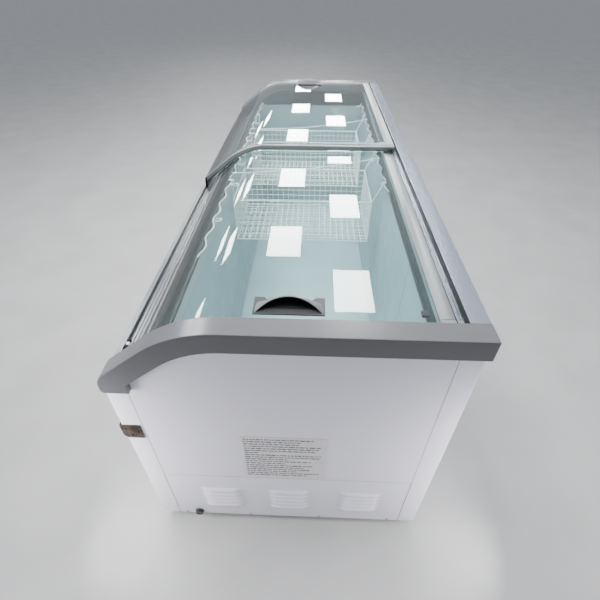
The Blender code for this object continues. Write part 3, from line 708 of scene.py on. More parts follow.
def curved_rail(name, section, rear, front):
    """Sweeps a closed section of (x, depth) points along the curve."""
    sheet = bmesh.new()
    lines = []
    for x, depth in section:
        lines.append([sheet.verts.new((x, y, z)) for y, z in curve_line(depth, rear, front)])
    stations = len(lines[0])
    for first, second in zip(lines, lines[1:] + lines[:1]):
        for i in range(stations - 1):
            sheet.faces.new((first[i], first[i + 1], second[i + 1], second[i]))
    sheet.faces.new([line[0] for line in lines])
    sheet.faces.new([line[-1] for line in lines][::-1])
    return mesh_object(name, sheet)


# ------------------------------------------------------------------ caps and body

def cap_outline():
    """End view of a cap: a band with a round nose and a short leg."""
    front, rear = CAP_LOW[1], CAP_HIGH[1]
    bend = pi / 2 - CURVE_ANGLE
    reach = NOSE_RADIUS * tan(bend / 2)
    nose = (front + NOSE_RADIUS, curve_height(0, rear, front) - reach)
    outer = curve_line(0, rear, front + reach * cos(CURVE_ANGLE))[:-1]
    outer += arc(nose, NOSE_RADIUS, pi / 2 + CURVE_ANGLE, bend, 12)
    foot = arc((front + FOOT_RADIUS, CAP_LOW[2] + FOOT_RADIUS), FOOT_RADIUS, pi, pi / 2, 6)
    toe = [(CAP_TOE - TOE_EDGE, CAP_LOW[2]), (CAP_TOE, CAP_LOW[2] + TOE_EDGE)]
    return outer + foot + toe + curve_line(CAP_BAND, rear, CAP_TOE)[::-1]


def end_caps():
    for side, _ in SIDES:
        low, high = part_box(f"{side}_end_cap")
        cap = prism(f"{side}_cap_shell", cap_outline(), low[0], high[0])
        keep(rounded(cap, 0.0022, 3, 50), "cap", "cabinet", f"{side}_end_cap")


BEND = 0.0025


def wrapped_panel(node, inward):
    """A long sheet panel with rounded bends where it wraps round the two ends."""
    low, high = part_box(node)
    face, tip = (low[1], high[1]) if inward > 0 else (high[1], low[1])
    skins = []
    for hand in (-1, 1):
        end = hand * high[0]
        for radius in (BEND, BEND - SHEET):
            skin = []
            for step in range(6):
                turn = pi / 2 * step / 5
                across, along = BEND - radius * sin(turn), BEND - radius * cos(turn)
                skin.append((end - hand * across, face + inward * along))
            skins.append(skin + [(end - hand * (BEND - radius), tip)])
    left_outer, left_inner, right_outer, right_inner = skins
    outline = left_outer[::-1] + right_outer + right_inner[::-1] + left_inner
    return prism(f"{node}_sheet", outline, low[2], high[2], "Z")


def body_panels():
    front = wrapped_panel("front_outer_panel", 1)
    low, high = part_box("control_box")
    inset = Vector((0.007, -0.01, 0.007))
    carve(front, [block("control_hole", Vector(low) + inset, Vector(high) - inset, 0)])
    keep(front, "enamel", "cabinet", "front_outer_panel")
    keep(wrapped_panel("rear_outer_panel", -1), "enamel", "cabinet", "rear_outer_panel")
    for side, hand in SIDES:
        dress(f"{side}_end_panel", "enamel")
        panel_joints(side, hand)


FINE_JOINT = 0.0005
WIDE_JOINT = 0.0009


def panel_joints(side, hand):
    """The sealed joints round an end panel, wider beside the louvred sheet."""
    face = hand * END_FACE
    near, far = sorted((face - hand * 0.0005, face + hand * 0.00015))
    inner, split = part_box("louvre_panel")[1][1:]
    bottom = BODY_LOW[2] + 0.001
    spans = []
    for y, top in ((-inner, CAP_LOW[2] - 0.003), (inner, TOP - CAP_BAND - 0.003)):
        for low, high, half in ((bottom, split, WIDE_JOINT), (split, top, FINE_JOINT)):
            spans.append(((y - half, low), (y + half, high)))
    if side == "right":
        spans.append(((-inner, split - FINE_JOINT), (inner, split + FINE_JOINT)))
    strips = [block("joint", (near, *low), (far, *high), 0) for low, high in spans]
    keep(joined(f"{side}_panel_joints", strips), "joint")


LOUVRE_COLUMNS = (-0.197, 0.003, 0.213)
LOUVRE_ROWS = 5
LOUVRE_BOTTOM = 0.120
LOUVRE_PITCH = 0.0235
LOUVRE_WIDTH = 0.124
SLOT_HEIGHT = 0.006
HOOD_HEIGHT = 0.0105
HOOD_SWELL = 0.0070
HOOD_END = 0.024


def louvre_hood(column, low):
    """A pressed hood over one slot: it swells out towards its open lower edge."""
    across, down = 40, 8
    rows = []
    for i in range(across + 1):
        t = i / across
        y = column + LOUVRE_WIDTH * (t - 0.5)
        swell = HOOD_SWELL * ease(min(t, 1 - t) * LOUVRE_WIDTH / HOOD_END)
        row = []
        for j in range(down + 1):
            s = j / down
            reach = swell * sin(s * pi / 2) ** 1.2
            row.append((END_FACE + 0.0002 + reach, y, low + HOOD_HEIGHT * (1 - s) + 0.0005))
        rows.append(row)
    return thick_sheet("hood", rows, 0.0009, -1)


def louvre_panel():
    low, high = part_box("louvre_panel")
    panel = block("louvre_sheet", low, high, 0)
    half = LOUVRE_WIDTH / 2 - 0.006
    cutters, hoods = [], []
    for column in LOUVRE_COLUMNS:
        for row in range(LOUVRE_ROWS):
            base = LOUVRE_BOTTOM + LOUVRE_PITCH * row
            cutters.append(block("slot", (low[0] - 0.01, column - half, base),
                                 (high[0] + 0.01, column + half, base + SLOT_HEIGHT), 0))
            hoods.append(louvre_hood(column, base))
    carve(panel, cutters)
    keep(joined("louvred_panel", [panel] + hoods), "enamel", "cabinet", "louvre_panel")


LABEL_MARGIN = 0.007
LABEL_LENGTHS = (0.88, 0.72, 0.70, 0.97, 0.95, 0.90, 0.20, 0.98, 0.96, 0.55, 0.86, 0.52, 0.90, 0.76,
                 0.84, 0.66, 0.97, 0.80)


def label():
    """A pale film label with rows of plain dashes of varied length in place of print."""
    low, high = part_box("blank_label")
    outline = rounded_rectangle(low[1], high[1], low[2], high[2], 0.003)
    keep(prism("label_film", outline, low[0], high[0]), "label", "cabinet", "blank_label")
    draw = random.Random(7)
    face = high[0] + 0.00005
    pitch = (high[2] - low[2] - 2 * LABEL_MARGIN) / len(LABEL_LENGTHS)
    sheet = bmesh.new()
    for row, length in enumerate(LABEL_LENGTHS):
        z = high[2] - 0.011 - pitch * row
        y = low[1] + LABEL_MARGIN
        stop = y + (high[1] - low[1] - 2 * LABEL_MARGIN) * length
        while y < stop - 0.004:
            dash = min(draw.uniform(0.004, 0.015), stop - y)
            half = pitch * draw.uniform(0.17, 0.23)
            corners = ((y, z - half), (y + dash, z - half), (y + dash, z + half), (y, z + half))
            slab(sheet, *([sheet.verts.new((x, *corner)) for corner in corners] for x in (face + 0.0001, face)))
            y += dash + draw.uniform(0.0015, 0.0035)
    keep(mesh_object("label_dashes", sheet), "ink")


def corner_bracket():
    """A plated corner plate, with three screws on the end and two on the front."""
    low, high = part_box("right_corner_bracket")
    long, wide, tall = (high[i] - low[i] for i in range(3))
    thick = 0.0018
    lower = 0.016
    outline = [(low[1] + 0.0002, high[2]), (high[1], high[2]), (high[1], low[2])]
    outline += arc((low[1] + lower, low[2] + lower), lower, -pi / 2, -pi / 2, 5)
    end_leg = prism("end_leg", outline, high[0] - thick, high[0])
    outline = rounded_rectangle(low[0], high[0] - 0.0002, low[2] + lower, high[2], 0.004)
    side_leg = prism("side_leg", outline, low[1], low[1] + thick, "Y")
    legs = [rounded(leg, 0.0004) for leg in (end_leg, side_leg)]
    keep(joined("corner_plate", legs), "bronze", "cabinet", "right_corner_bracket")
    radius = 0.0027
    for index, (y, z) in enumerate(((0.25, 0.70), (0.45, 0.22), (0.80, 0.50))):
        place = (high[0], low[1] + y * wide, low[2] + z * tall)
        screw_head(f"corner_screw_{index}", place, (1, 0, 0), radius, "bronze")
    for index, x in enumerate((0.3, 0.7)):
        place = (low[0] + x * long, low[1], low[2] + 0.55 * tall)
        screw_head(f"side_screw_{index}", place, (0, -1, 0), radius, "bronze")


def body_screws():
    """Small screws along the lower edges of the body."""
    edge = BODY_LOW[2] + 0.006
    for end, hand in SIDES:
        for index, y in enumerate((-0.325, -0.120, 0.099, 0.314)):
            place = (hand * (END_FACE + 0.0001), y, edge)
            screw_head(f"{end}_edge_screw_{index}", place, (hand, 0, 0), 0.0026, "black")
    for row, hand, y in (("front", -1, BODY_LOW[1]), ("rear", 1, REAR_FACE)):
        for index in range(6):
            place = (-0.960 + 0.384 * index, y + hand * 0.0001, edge)
            screw_head(f"{row}_edge_screw_{index}", place, (0, hand, 0), 0.0030)


# ------------------------------------------------------------------ tracks and mouth

FRAME_TOP = CAP_BAND + 0.0003
FRAME_BOTTOM = CAP_BAND + 0.0063
SKIRT_BOTTOM = 0.757
TRIM_BOTTOM = 0.728


def mouth_frame():
    """The plastic frame round the tank's mouth, with a skirt down the tank's walls; its near-black colour is
    dark plastic made darker as painted shade inside the rim.
    """
    low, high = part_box("breaker_frame")
    reach = high[0]
    wall_top = TOP - FRAME_BOTTOM
    front_top = curve_height(FRAME_BOTTOM, 0, TANK_FRONT)
    front_skin = TANK_FRONT + SHEET
    pieces = [block("rear_strip", (-reach, TANK_REAR, wall_top), (reach, high[1], TOP - FRAME_TOP), 0),
              prism("front_strip", front_strip(TANK_FRONT, low[1]), -reach, reach)]
    band = curved_band(FRAME_TOP, FRAME_BOTTOM, TANK_REAR, TANK_FRONT)
    for hand in (-1, 1):
        pieces.append(prism("end_strip", band, *sorted((hand * TANK_END, hand * reach))))
    pieces.append(block("rear_skirt", (-TANK_END, TANK_REAR - SHEET, SKIRT_BOTTOM),
                        (TANK_END, TANK_REAR, wall_top), 0))
    pieces.append(block("front_skirt", (-TANK_END, TANK_FRONT, SKIRT_BOTTOM),
                        (TANK_END, front_skin, front_top), 0))
    wall = curve_line(FRAME_BOTTOM, TANK_REAR, TANK_FRONT)
    wall = [(TANK_REAR, SKIRT_BOTTOM)] + wall + [(TANK_FRONT, SKIRT_BOTTOM)]
    for hand in (-1, 1):
        pieces.append(prism("end_skirt", wall, *sorted((hand * TANK_END, hand * (TANK_END - SHEET)))))
    keep(joined("mouth_frame", pieces), "collar", "cabinet", "breaker_frame")
    keep(block("front_wall_trim", (-TANK_END, TANK_FRONT, TRIM_BOTTOM), (TANK_END, front_skin, SKIRT_BOTTOM),
               0.0004), "trim")


def front_strip(start, end):
    """End view of the frame's front strip, which follows the curve from start to end."""
    sides = []
    for depth in (FRAME_TOP, FRAME_BOTTOM):
        line = [point for point in curve_line(depth, start + 0.1, end) if point[0] < start]
        sides.append([curve_line(depth, start + 0.1, start)[-1]] + line)
    return sides[0] + sides[1][::-1]


LIP_TOP = 0.7085
GROOVE_FLOOR = 0.700
OUTER_GROOVE = (-0.3880, -0.3765)
INNER_GROOVE = (-0.3345, -0.3165)
CHANNEL_TOP = 0.748
UPPER_TRACK = (0.351, 0.364, 0.856)
LOWER_TRACK = 0.836
FLUTE = 0.0014
FRONT_FLUTES = (-0.3715, -0.3630, -0.3545, -0.3430)
REAR_FLUTES = (0.3610, 0.3560)
TRACK_EDGE = 0.0005
TRACK_JOINT = 0.028


def fluted(start, end, height, depth, places):
    """A level line from start to end with a square flute at each place."""
    width = FLUTE if end > start else -FLUTE
    line = [(start, height)]
    for place in places:
        floor = height - depth
        line += [(place, height), (place, floor), (place + width, floor), (place + width, height)]
    return line + [(end, height)]


def tracks():
    """The rails along both long edges, with the lids' tracks pressed into them."""
    low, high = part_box("front_top_rail")
    base, ends = low[2], (low[0], high[0])
    shape = [(low[1], base), (low[1], LIP_TOP), (OUTER_GROOVE[0], LIP_TOP), (OUTER_GROOVE[0], GROOVE_FLOOR),
             (OUTER_GROOVE[1], GROOVE_FLOOR)]
    shape += fluted(OUTER_GROOVE[1], INNER_GROOVE[0], LIP_TOP, 0.004, FRONT_FLUTES) + [(INNER_GROOVE[0], base)]
    bar("front_track", shape, ends, TRACK_EDGE, "rail", "cabinet", "front_top_rail")
    # The track's inner part is a separate near-black bar: painted shade seen through the glass.
    start = INNER_GROOVE[0] + 0.0002
    shape = [(start, base), (start, GROOVE_FLOOR), (INNER_GROOVE[1], GROOVE_FLOOR),
             (INNER_GROOVE[1], CHANNEL_TOP), (high[1], CHANNEL_TOP), (high[1], base)]
    bar("front_channel", shape, ends, TRACK_EDGE, "painted_shade")
    low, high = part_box("rear_top_rail")
    inner, outer, floor = UPPER_TRACK
    shape = [(high[1], low[2]), (high[1], high[2]), (outer, high[2]), (outer, floor)]
    shape += fluted(outer, inner, floor, 0.001, REAR_FLUTES)
    shape += [(inner, LOWER_TRACK), (low[1], LOWER_TRACK), (low[1], low[2])]
    bar("rear_track", shape, (low[0], high[0]), TRACK_EDGE, "silver", "cabinet", "rear_top_rail")
    # Near-black strips on the rear track's two inner step faces: painted shade.
    for name, face, bottom, top in (("rail", outer, floor, high[2]), ("track", inner, LOWER_TRACK, floor)):
        keep(block(f"rear_{name}_seal", (low[0], face - 0.0008, bottom + 0.001),
                   (high[0], face + 0.0001, top - 0.001), 0.0003), "painted_shade")
    edge = CAP_INNER - 0.0006
    for end, hand in SIDES:
        near, far = sorted((hand * edge, hand * (edge - TRACK_JOINT)))
        keep(block(f"{end}_track_joint", (near, inner + 0.0005, floor + 0.0002),
                   (far, outer - 0.0012, floor + 0.0012), 0.0003), "frame")
    bumpers()


def bumpers():
    """A rubber stop with a white core in each front track, past the lids' ends."""
    for name, x, groove in (("outer", 0.936, OUTER_GROOVE), ("inner", -0.957, INNER_GROOVE)):
        y = (groove[0] + groove[1]) / 2
        half = (groove[1] - groove[0]) / 2 - 0.0008
        pads = [bumper_part("pad", x + offset, 0.0045, y, half, 0.013) for offset in (-0.010, 0.010)]
        keep(joined(f"{name}_bumper", pads), "gasket")
        keep(bumper_part(f"{name}_bumper_core", x, 0.0055, y, half - 0.0006, 0.010), "white_plastic")


def bumper_part(name, x, half_length, y, half_width, height):
    return block(name, (x - half_length, y - half_width, GROOVE_FLOOR),
                 (x + half_length, y + half_width, GROOVE_FLOOR + height), 0.0015)


# ------------------------------------------------------------------ lids

GLASS = 0.004
BAR_DEPTH = 0.014
LID_DEPTH = {"left": 0.0, "right": 0.020}
INNER_END = {"left": "near", "right": "far"}
GLIDE = 0.006
CORNER = 0.030


def lids():
    for side, hand in SIDES:
        low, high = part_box(f"{side}_lid_glass")
        depth = LID_DEPTH[side]
        pane = prism(f"{side}_pane", curved_band(depth, depth + GLASS, high[1], low[1]), low[0], high[0])
        keep(rounded(pane, 0.0006, 2, 50), "glass", f"{side}_lid", f"{side}_lid_glass")
        for place in ("outer", "inner"):
            lid_bar(side, place)
        front_rail(side)
        rear_rail(side)
        lid_handle(side, hand)
    front_gasket_and_reflection()
    lid_seal()


def lid_bar(side, place):
    """A curved extrusion with rounded shoulders and a shallow groove along its middle."""
    low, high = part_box(f"{side}_lid_{place}_bar")
    depth = LID_DEPTH[side]
    width = high[0] - low[0]
    profile = ((0, BAR_DEPTH), (0, 0.0022), (0.0006, 0.0008), (0.0020, 0.0001), (0.0076, 0.0), (0.0080, 0.0006),
               (0.0100, 0.0006), (0.0104, 0.0), (width - 0.0020, 0.0001), (width - 0.0006, 0.0008),
               (width, 0.0022), (width, BAR_DEPTH))
    section = [(low[0] + x, depth + d) for x, d in profile]
    strip = curved_rail(f"{side}_{place}_rail", section, high[1], low[1])
    keep(strip, "frame", f"{side}_lid", f"{side}_lid_{place}_bar")


def front_rail(side):
    """The lower edge rail of a lid, with a plastic glide at each end."""
    low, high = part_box(f"{side}_lid_front_rail")
    outer_z, inner_z = (curve_height(LID_DEPTH[side], 0.2, y) for y in (low[1], high[1]))
    step = 0.002
    shape = [(low[1], low[2]), (low[1], outer_z - 0.004), (low[1] + step, outer_z), (high[1], inner_z),
             (high[1], low[2] + 0.012), (high[1] - step, low[2] + 0.010), (high[1] - step, low[2])]
    bar(f"{side}_lower_rail", shape, (low[0] + GLIDE, high[0] - GLIDE), 0.0007,
        "silver" if side == "right" else "rail", f"{side}_lid", f"{side}_lid_front_rail")
    for end, start in (("near", high[0] - GLIDE), ("far", low[0])):
        bar(f"{side}_{end}_glide", shape, (start, start + GLIDE), 0.0009, "gasket", f"{side}_lid")


def rear_rail(side):
    """The flat rear strip of a lid: an extrusion between two plastic corner pieces."""
    low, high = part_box(f"{side}_lid_rear_rail")
    shape = [(low[1], high[2]), (low[1], low[2]), (high[1], low[2]), (high[1], high[2])]
    if side == "left":
        foot, heel = high[2] - 0.011, high[1] - 0.0045
        shape[1:2] = [(low[1], foot), (heel, foot), (heel, low[2])]
    bar(f"{side}_rear_strip", shape, (low[0] + CORNER, high[0] - CORNER), 0.0006, "strip", f"{side}_lid",
        f"{side}_lid_rear_rail")
    for end, start in (("near", high[0] - CORNER + 0.0003), ("far", low[0])):
        bar(f"{side}_{end}_corner", shape, (start, start + CORNER - 0.0003), 0.0010, "frame", f"{side}_lid")
        gusset(side, end, low, high)


GUSSET_LENGTH, GUSSET_REACH, GUSSET_INSET = 0.046, 0.082, 0.018
STOP_LENGTH, STOP_INSET = 0.016, 0.042


def gusset(side, end, low, high):
    """The stiffener at a rear corner: a triangular plate inside, a small block at the outer end."""
    tip, hand = (high[0], 1) if end == "near" else (low[0], -1)
    under = TOP - LID_DEPTH[side] - GLASS - 0.0002
    rear = low[1]
    if end == INNER_END[side]:
        edge = tip - hand * GUSSET_INSET
        outline = [(edge, rear), (edge - hand * GUSSET_LENGTH, rear), (edge, rear - GUSSET_REACH)]
        plate = prism(f"{side}_{end}_gusset", outline, under - 0.0015, under, "Z")
        keep(rounded(plate, 0.0004), "frame", f"{side}_lid")
    else:
        edge = tip - hand * STOP_INSET
        near, far = sorted((edge, edge - hand * STOP_LENGTH))
        stop = block(f"{side}_{end}_stop", (near, rear - 0.032, under - 0.007),
                     (far, rear - 0.016, under), 0.0012)
        keep(stop, "gasket", f"{side}_lid")


# A near-black gasket that also paints the shadow at the glass edge, and a brownish strip that paints a
# reflection.
FRONT_GASKET_AND_REFLECTION = (("gasket", (-0.3160, -0.3108), 0.017), ("painted_reflection", (-0.3105, -0.3040), 0.004))


def front_gasket_and_reflection():
    """A hanging black gasket under the lower lid's front edge, which also paints the shadow along the glass
    edge, and beside it a brownish strip that paints the reflection of the front rail's aluminium inner lip.
    """
    low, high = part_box("right_lid_glass")
    under = LID_DEPTH["right"] + GLASS + 0.0003
    margin = 0.019
    for name, span, drop in FRONT_GASKET_AND_REFLECTION:
        outline = [(y, curve_height(under, 0.2, y)) for y in span]
        outline += [(y, z - drop) for y, z in outline[::-1]]
        bar(f"right_front_{name}", outline, (low[0] + margin, high[0] - margin), 0.0006, name, "right_lid")


def lid_seal():
    """The bulb gasket under the upper lid's leading bar."""
    low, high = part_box("left_lid_seal")
    base = BAR_DEPTH + 0.0003
    flange = base + 0.0012
    middle = (low[0] + high[0]) / 2
    section = [(low[0], base), (high[0], base), (high[0], flange)]
    for step in range(9):
        turn = pi * step / 8
        section.append((middle + 0.006 * cos(turn), flange + 0.0028 * sin(turn)))
    section.append((low[0], flange))
    keep(curved_rail("leading_seal", section, high[1], low[1]), "gasket", "left_lid", "left_lid_seal")


HANDLE_CREST = 0.953
HANDLE_FLUTES = (-0.049, -0.028, 0.019, 0.049)
FLUTE_DEPTH = 0.0011
FLUTE_WIDTH = 0.0028


def arch_lift(u, half, height):
    """Height of a round arch of the given half span, where u runs from -1 to 1 across it."""
    radius = (half ** 2 + height ** 2) / (2 * height)
    return sqrt(radius ** 2 - (half * u) ** 2) - (radius - height)


def lid_handle(side, hand):
    """A finger hood, darker inside and on its plate as painted shade: a leaning arched mouth that runs down to
    a plate with two ears.
    """
    low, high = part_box(f"{side}_lid_handle")
    mouth, back = (high[0], low[0]) if hand > 0 else (low[0], high[0])
    crest = hand * HANDLE_CREST
    middle = (low[1] + high[1]) / 2
    half = (high[1] - low[1]) / 2 - 0.001
    height = high[2] - low[2]
    plate = handle_plate(mouth, back, middle, half, low[2])
    across, deep = 56, 14
    rows = []
    for i in range(across + 1):
        u = 2 * i / across - 1
        y = middle + half * u
        lift = arch_lift(u, half, height)
        rise = lift / height
        rim = Vector((mouth + (crest - mouth) * rise, y, low[2] + max(lift, 0.0016) - 0.0003))
        tail = Vector((back + hand * (0.003 + 0.016 * u * u), y, low[2] + 0.0024))
        flute = sum(FLUTE_DEPTH * exp(-((y - middle - place) / FLUTE_WIDTH) ** 2) for place in HANDLE_FLUTES)
        row = []
        for j in range(deep + 1):
            v = j / deep
            point = rim.lerp(tail, v)
            point.z += 0.0050 * sin(pi * v) * rise
            point.z -= flute * ease(v * 4) * ease((1 - v) * 3) * min(1.0, 4 * rise)
            row.append(point)
        rows.append(row)
    hood = thick_sheet("hood", rows, 0.0022, -1 if hand > 0 else 1)
    hood.modifiers["skin"].use_even_offset = True
    # The hood's inner skin takes the second slot, which becomes the darker plastic: painted shade inside the
    # hood.
    hood.modifiers["skin"].material_offset = 1
    for slot in ("handle", "black"):
        hood.data.materials.append(MATS[slot])
    rim_path = []
    for step in range(41):
        u = 2 * step / 40 - 1
        lift = max(0.0, arch_lift(u, half, height))
        rim_path.append((mouth + (crest - mouth) * lift / height, middle + half * u * 0.995,
                         low[2] + max(lift - 0.0012, 0.0012)))
    rim = wires("rim", [rim_path], 0.0012)
    for face in plate.data.polygons:
        face.material_index = 1
    shell = joined(f"{side}_handle_shell", [plate, hood, rim])
    slots = [face.material_index for face in shell.data.polygons]
    keep(shell, "handle", f"{side}_lid", f"{side}_lid_handle")
    # The second slot is the darker plastic: painted shade on the hood's inside and the plate.
    shell.data.materials.append(MATS["dark"])
    shell.data.polygons.foreach_set("material_index", slots)
    # A black sheet on the plate under the hood: painted shade in the hood's hollow.
    floor = low[2] + 0.0033
    reach = 0.64 * half
    near, far = sorted((mouth - hand * 0.017, back + hand * 0.026))
    shade_patch = block(f"{side}_handle_painted_shade", (near, middle - reach, floor),
                 (far, middle + reach, floor + 0.0006), 0.0002)
    keep(shade_patch, "black", f"{side}_lid")


def handle_plate(mouth, back, middle, half, base):
    """The base of a handle: a plate with a notch between each ear and the hood."""
    hand = 1 if mouth > back else -1
    notch = [(back, half - 0.020), (back + hand * 0.009, half - 0.027), (back + hand * 0.002, half - 0.038)]
    upper = [(mouth, half), (back, half)] + notch
    outline = [(mouth, middle - half)] + [(x, middle + y) for x, y in upper]
    outline += [(x, middle - y) for x, y in notch[::-1]] + [(back, middle - half)]
    return prism("plate", outline, base, base + 0.0032, "Z")


# ------------------------------------------------------------------ baskets and their rails

WIRE_RAIL = 0.0024
WIRE_THICK = 0.0026
WIRE_THIN = 0.0013
MESH_PITCH = 0.025
RIM_HEIGHT = 0.695
CURLS = {"rear": (-0.925, -0.665, -0.330, -0.080), "front": (-0.575, -0.415, -0.315, -0.027, 0.174, 0.440)}
CURL_RADIUS = 0.013
WAVE_REACH = 0.012
WAVE_PERIOD = 0.110


def wavy_rail(row, inward):
    """A hanging wire bent into a slow wave with closed curls, then a straight run to the machine end, coloured
    near-black as painted shade.
    """
    low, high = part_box(f"{row}_basket_rail")
    y = high[1] - WIRE_RAIL if inward < 0 else low[1] + WIRE_RAIL
    z = high[2] - WIRE_RAIL
    step = 0.005
    switch = WAVE_PERIOD * (int(CURLS[row][-1] / WAVE_PERIOD) + 2)
    path = []
    x = low[0]
    while x < switch:
        wave = y + inward * WAVE_REACH * (0.5 - 0.5 * cos(2 * pi * x / WAVE_PERIOD))
        path.append((x, wave, z))
        if any(x <= place < x + step for place in CURLS[row]):
            for turn in (2 * pi * part / 24 for part in range(1, 24)):
                path.append((x + CURL_RADIUS * sin(turn), wave + inward * CURL_RADIUS * (1 - cos(turn)),
                             z - 0.0012 * turn))
        x += step
    path.append((switch, y, z))
    rail = wires(f"{row}_wavy_rail", [path], WIRE_RAIL, sides=3)
    keep(rail, "rail_wire", "cabinet", f"{row}_basket_rail")
    # The straight run near the machine end is coloured near-black: painted shade under the lids' front edge.
    run = [(switch + 0.0003, y, z), (high[0], y, z)]
    keep(wires(f"{row}_straight_rail", [run], WIRE_RAIL, sides=3), "painted_shade")


def grid_places(low, high):
    """Evenly spaced places from low to high, about one mesh pitch apart."""
    count = max(1, round((high - low) / MESH_PITCH))
    return [low + (high - low) * i / count for i in range(count + 1)]


HOOK_CLEAR = 0.010
HOOK_DROP = 0.016
BAIL_HALF = 0.090
BAIL_SAG = 0.030


def wire_basket(side):
    """A welded wire basket: thin mesh, thicker rim, a hook over the rail at each corner and a bail."""
    low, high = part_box(f"{side}_basket")
    left, right = low[0] + WIRE_THICK, high[0] - WIRE_THICK
    front_edge, rear_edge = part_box("front_basket_rail")[1][1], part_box("rear_basket_rail")[0][1]
    front, rear = front_edge + 0.0008, 0.280
    floor, rim = low[2] + WIRE_THIN, RIM_HEIGHT
    thin = [[(x, front, rim), (x, front, floor), (x, rear, floor), (x, rear, rim)]
            for x in grid_places(left, right)]
    thin += [[(left, y, rim), (left, y, floor), (right, y, floor), (right, y, rim)]
             for y in grid_places(front, rear)]
    corners = ((left, front), (right, front), (right, rear), (left, rear))
    rings = [[(x, y, z) for x, y in corners] for z in grid_places(floor, rim)]
    crest = high[2] + 0.0005
    front_reach, rear_reach = low[1] + WIRE_THICK, high[1] - WIRE_THICK
    sides = ((front, front_edge + HOOK_CLEAR, front_reach), (rear, rear_edge - HOOK_CLEAR, rear_reach))
    hooks = []
    for x in (left, right):
        for y, inner, outer in sides:
            hooks.append([(x, y, floor), (x, y, rim), (x, inner, crest - HOOK_DROP), (x, inner, crest),
                          (x, outer, crest)])
    middle = (left + right) / 2
    bail = [(middle + BAIL_HALF, front_reach, crest), (middle, 0.03, crest - BAIL_SAG),
            (middle - BAIL_HALF, rear_reach, crest)]
    pieces = [wires("thin", thin, WIRE_THIN, sides=1),
              wires("rings", rings[1:-1], WIRE_THIN, closed=True, sides=1),
              wires("frames", [rings[0], rings[-1]], WIRE_THICK, closed=True, sides=3),
              wires("hooks", hooks, WIRE_THICK, sides=3), wires("bail", [bail], WIRE_THIN * 1.3, smooth=True)]
    keep(joined(f"{side}_wire_basket", pieces), "wire", f"{side}_basket", f"{side}_basket")


SEAM = 0.0008
SEAMS = {"front": (0.791, 0.300, -0.430), "rear": (0.645, 0.100, -0.430)}


def tank_seams():
    """Hairline joints of the liner on both long walls."""
    for row, y, inward in (("front", TANK_FRONT, 1), ("rear", TANK_REAR, -1)):
        near, far = sorted((y, y + inward * SEAM))
        for index, x in enumerate(SEAMS[row]):
            keep(block(f"{row}_seam_{index}", (x - SEAM, near, 0.140), (x + SEAM, far, 0.755), 0.0003), "seam")


# ------------------------------------------------------------------ controls, plug, gland

BEZEL = 0.0145
KNOB_HEIGHT = 0.170
KNOB_LEVELS = ((1.0, 0.0), (1.0, 0.10), (0.90, 0.14), (0.86, 0.82), (0.80, 0.93), (0.0, 0.95))
PLUG_LEVELS = ((1.0, 0.0), (1.0, 0.0022), (0.90, 0.0028), (0.86, 0.0085), (0.78, 0.0097), (0.35, 0.0097),
               (0.30, 0.0088), (0.0, 0.0088))


def controls():
    low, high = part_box("control_box")
    dress("control_box", "cap")
    outline = rounded_rectangle(low[0], high[0], low[2], high[2], 0.010, 6)
    bezel = prism("bezel", outline, low[1] - 0.0004, low[1] + 0.0018, "Y")
    window = rounded_rectangle(low[0] + BEZEL, high[0] - BEZEL, low[2] + BEZEL, high[2] - BEZEL, 0.004)
    carve(bezel, [prism("window", window, low[1] - 0.01, low[1] + 0.01, "Y")])
    keep(rounded(bezel, 0.0005), "cap")
    low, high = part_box("thermostat_knob")
    centre = Vector(((low[0] + high[0]) / 2, high[1], KNOB_HEIGHT))
    knob(centre, (high[0] - low[0]) / 2, high[1] - low[1])
    dial_marks(centre)
    rocker(high[1])


def knob(centre, radius, height):
    """A fluted thermostat knob with a pointer rib."""
    steps = 96
    body = ribbed_cap("knob_body", KNOB_LEVELS, radius, steps,
                      lambda step: 0.0006 * max(0.0, sin(18 * (2 * pi * step / steps))),
                      lambda u, v, level: centre + Vector((u, -height * level, v)))
    rib = block("rib", centre + Vector((-0.0016, -height, -0.006)),
                centre + Vector((0.0016, -height * 0.9, 0.013)), 0.0005)
    keep(joined("fluted_knob", [body, rib]), "dark", "thermostat", "thermostat_knob")


def dial_marks(centre):
    """Plain tick marks round the knob."""
    start = 0.0188
    ticks = []
    for step in range(11):
        length = 0.0036 if step % 5 == 0 else 0.0024
        tick = block("tick", (start, -0.0003, -0.0003), (start + length, 0.0, 0.0003), 0)
        turn = Matrix.Rotation(-radians(-45 + 27 * step), 4, "Y")
        tick.matrix_world = Matrix.Translation(centre + Vector((0, 0.0002, 0))) @ turn
        ticks.append(tick)
    keep(joined("dial_ticks", ticks), "white_plastic")


def rocker(back):
    """A power rocker with a dished face in a small frame."""
    low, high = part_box("power_rocker")
    middle = (low[2] + high[2]) / 2
    half = (high[2] - low[2]) / 2
    outline = []
    for step in range(13):
        t = 2 * step / 12 - 1
        outline.append((low[1] + 0.003 * (1 - t * t), middle + half * t))
    outline += [(high[1], middle + half - 0.002), (high[1], middle - half + 0.002)]
    bar("paddle", outline, (low[0], high[0]), 0.0007, "black", "rocker", "power_rocker")
    margin, gap = 0.0022, 0.0006
    outline = rounded_rectangle(low[0] - margin, high[0] + margin, low[2] - margin, high[2] + margin, 0.002)
    ring = prism("rocker_frame", outline, back - 0.0022, back + 0.0002, "Y")
    carve(ring, [block("hole", (low[0] - gap, back - 0.01, low[2] - gap),
                       (high[0] + gap, back + 0.01, high[2] + gap), 0)])
    keep(rounded(ring, 0.0004), "dark")


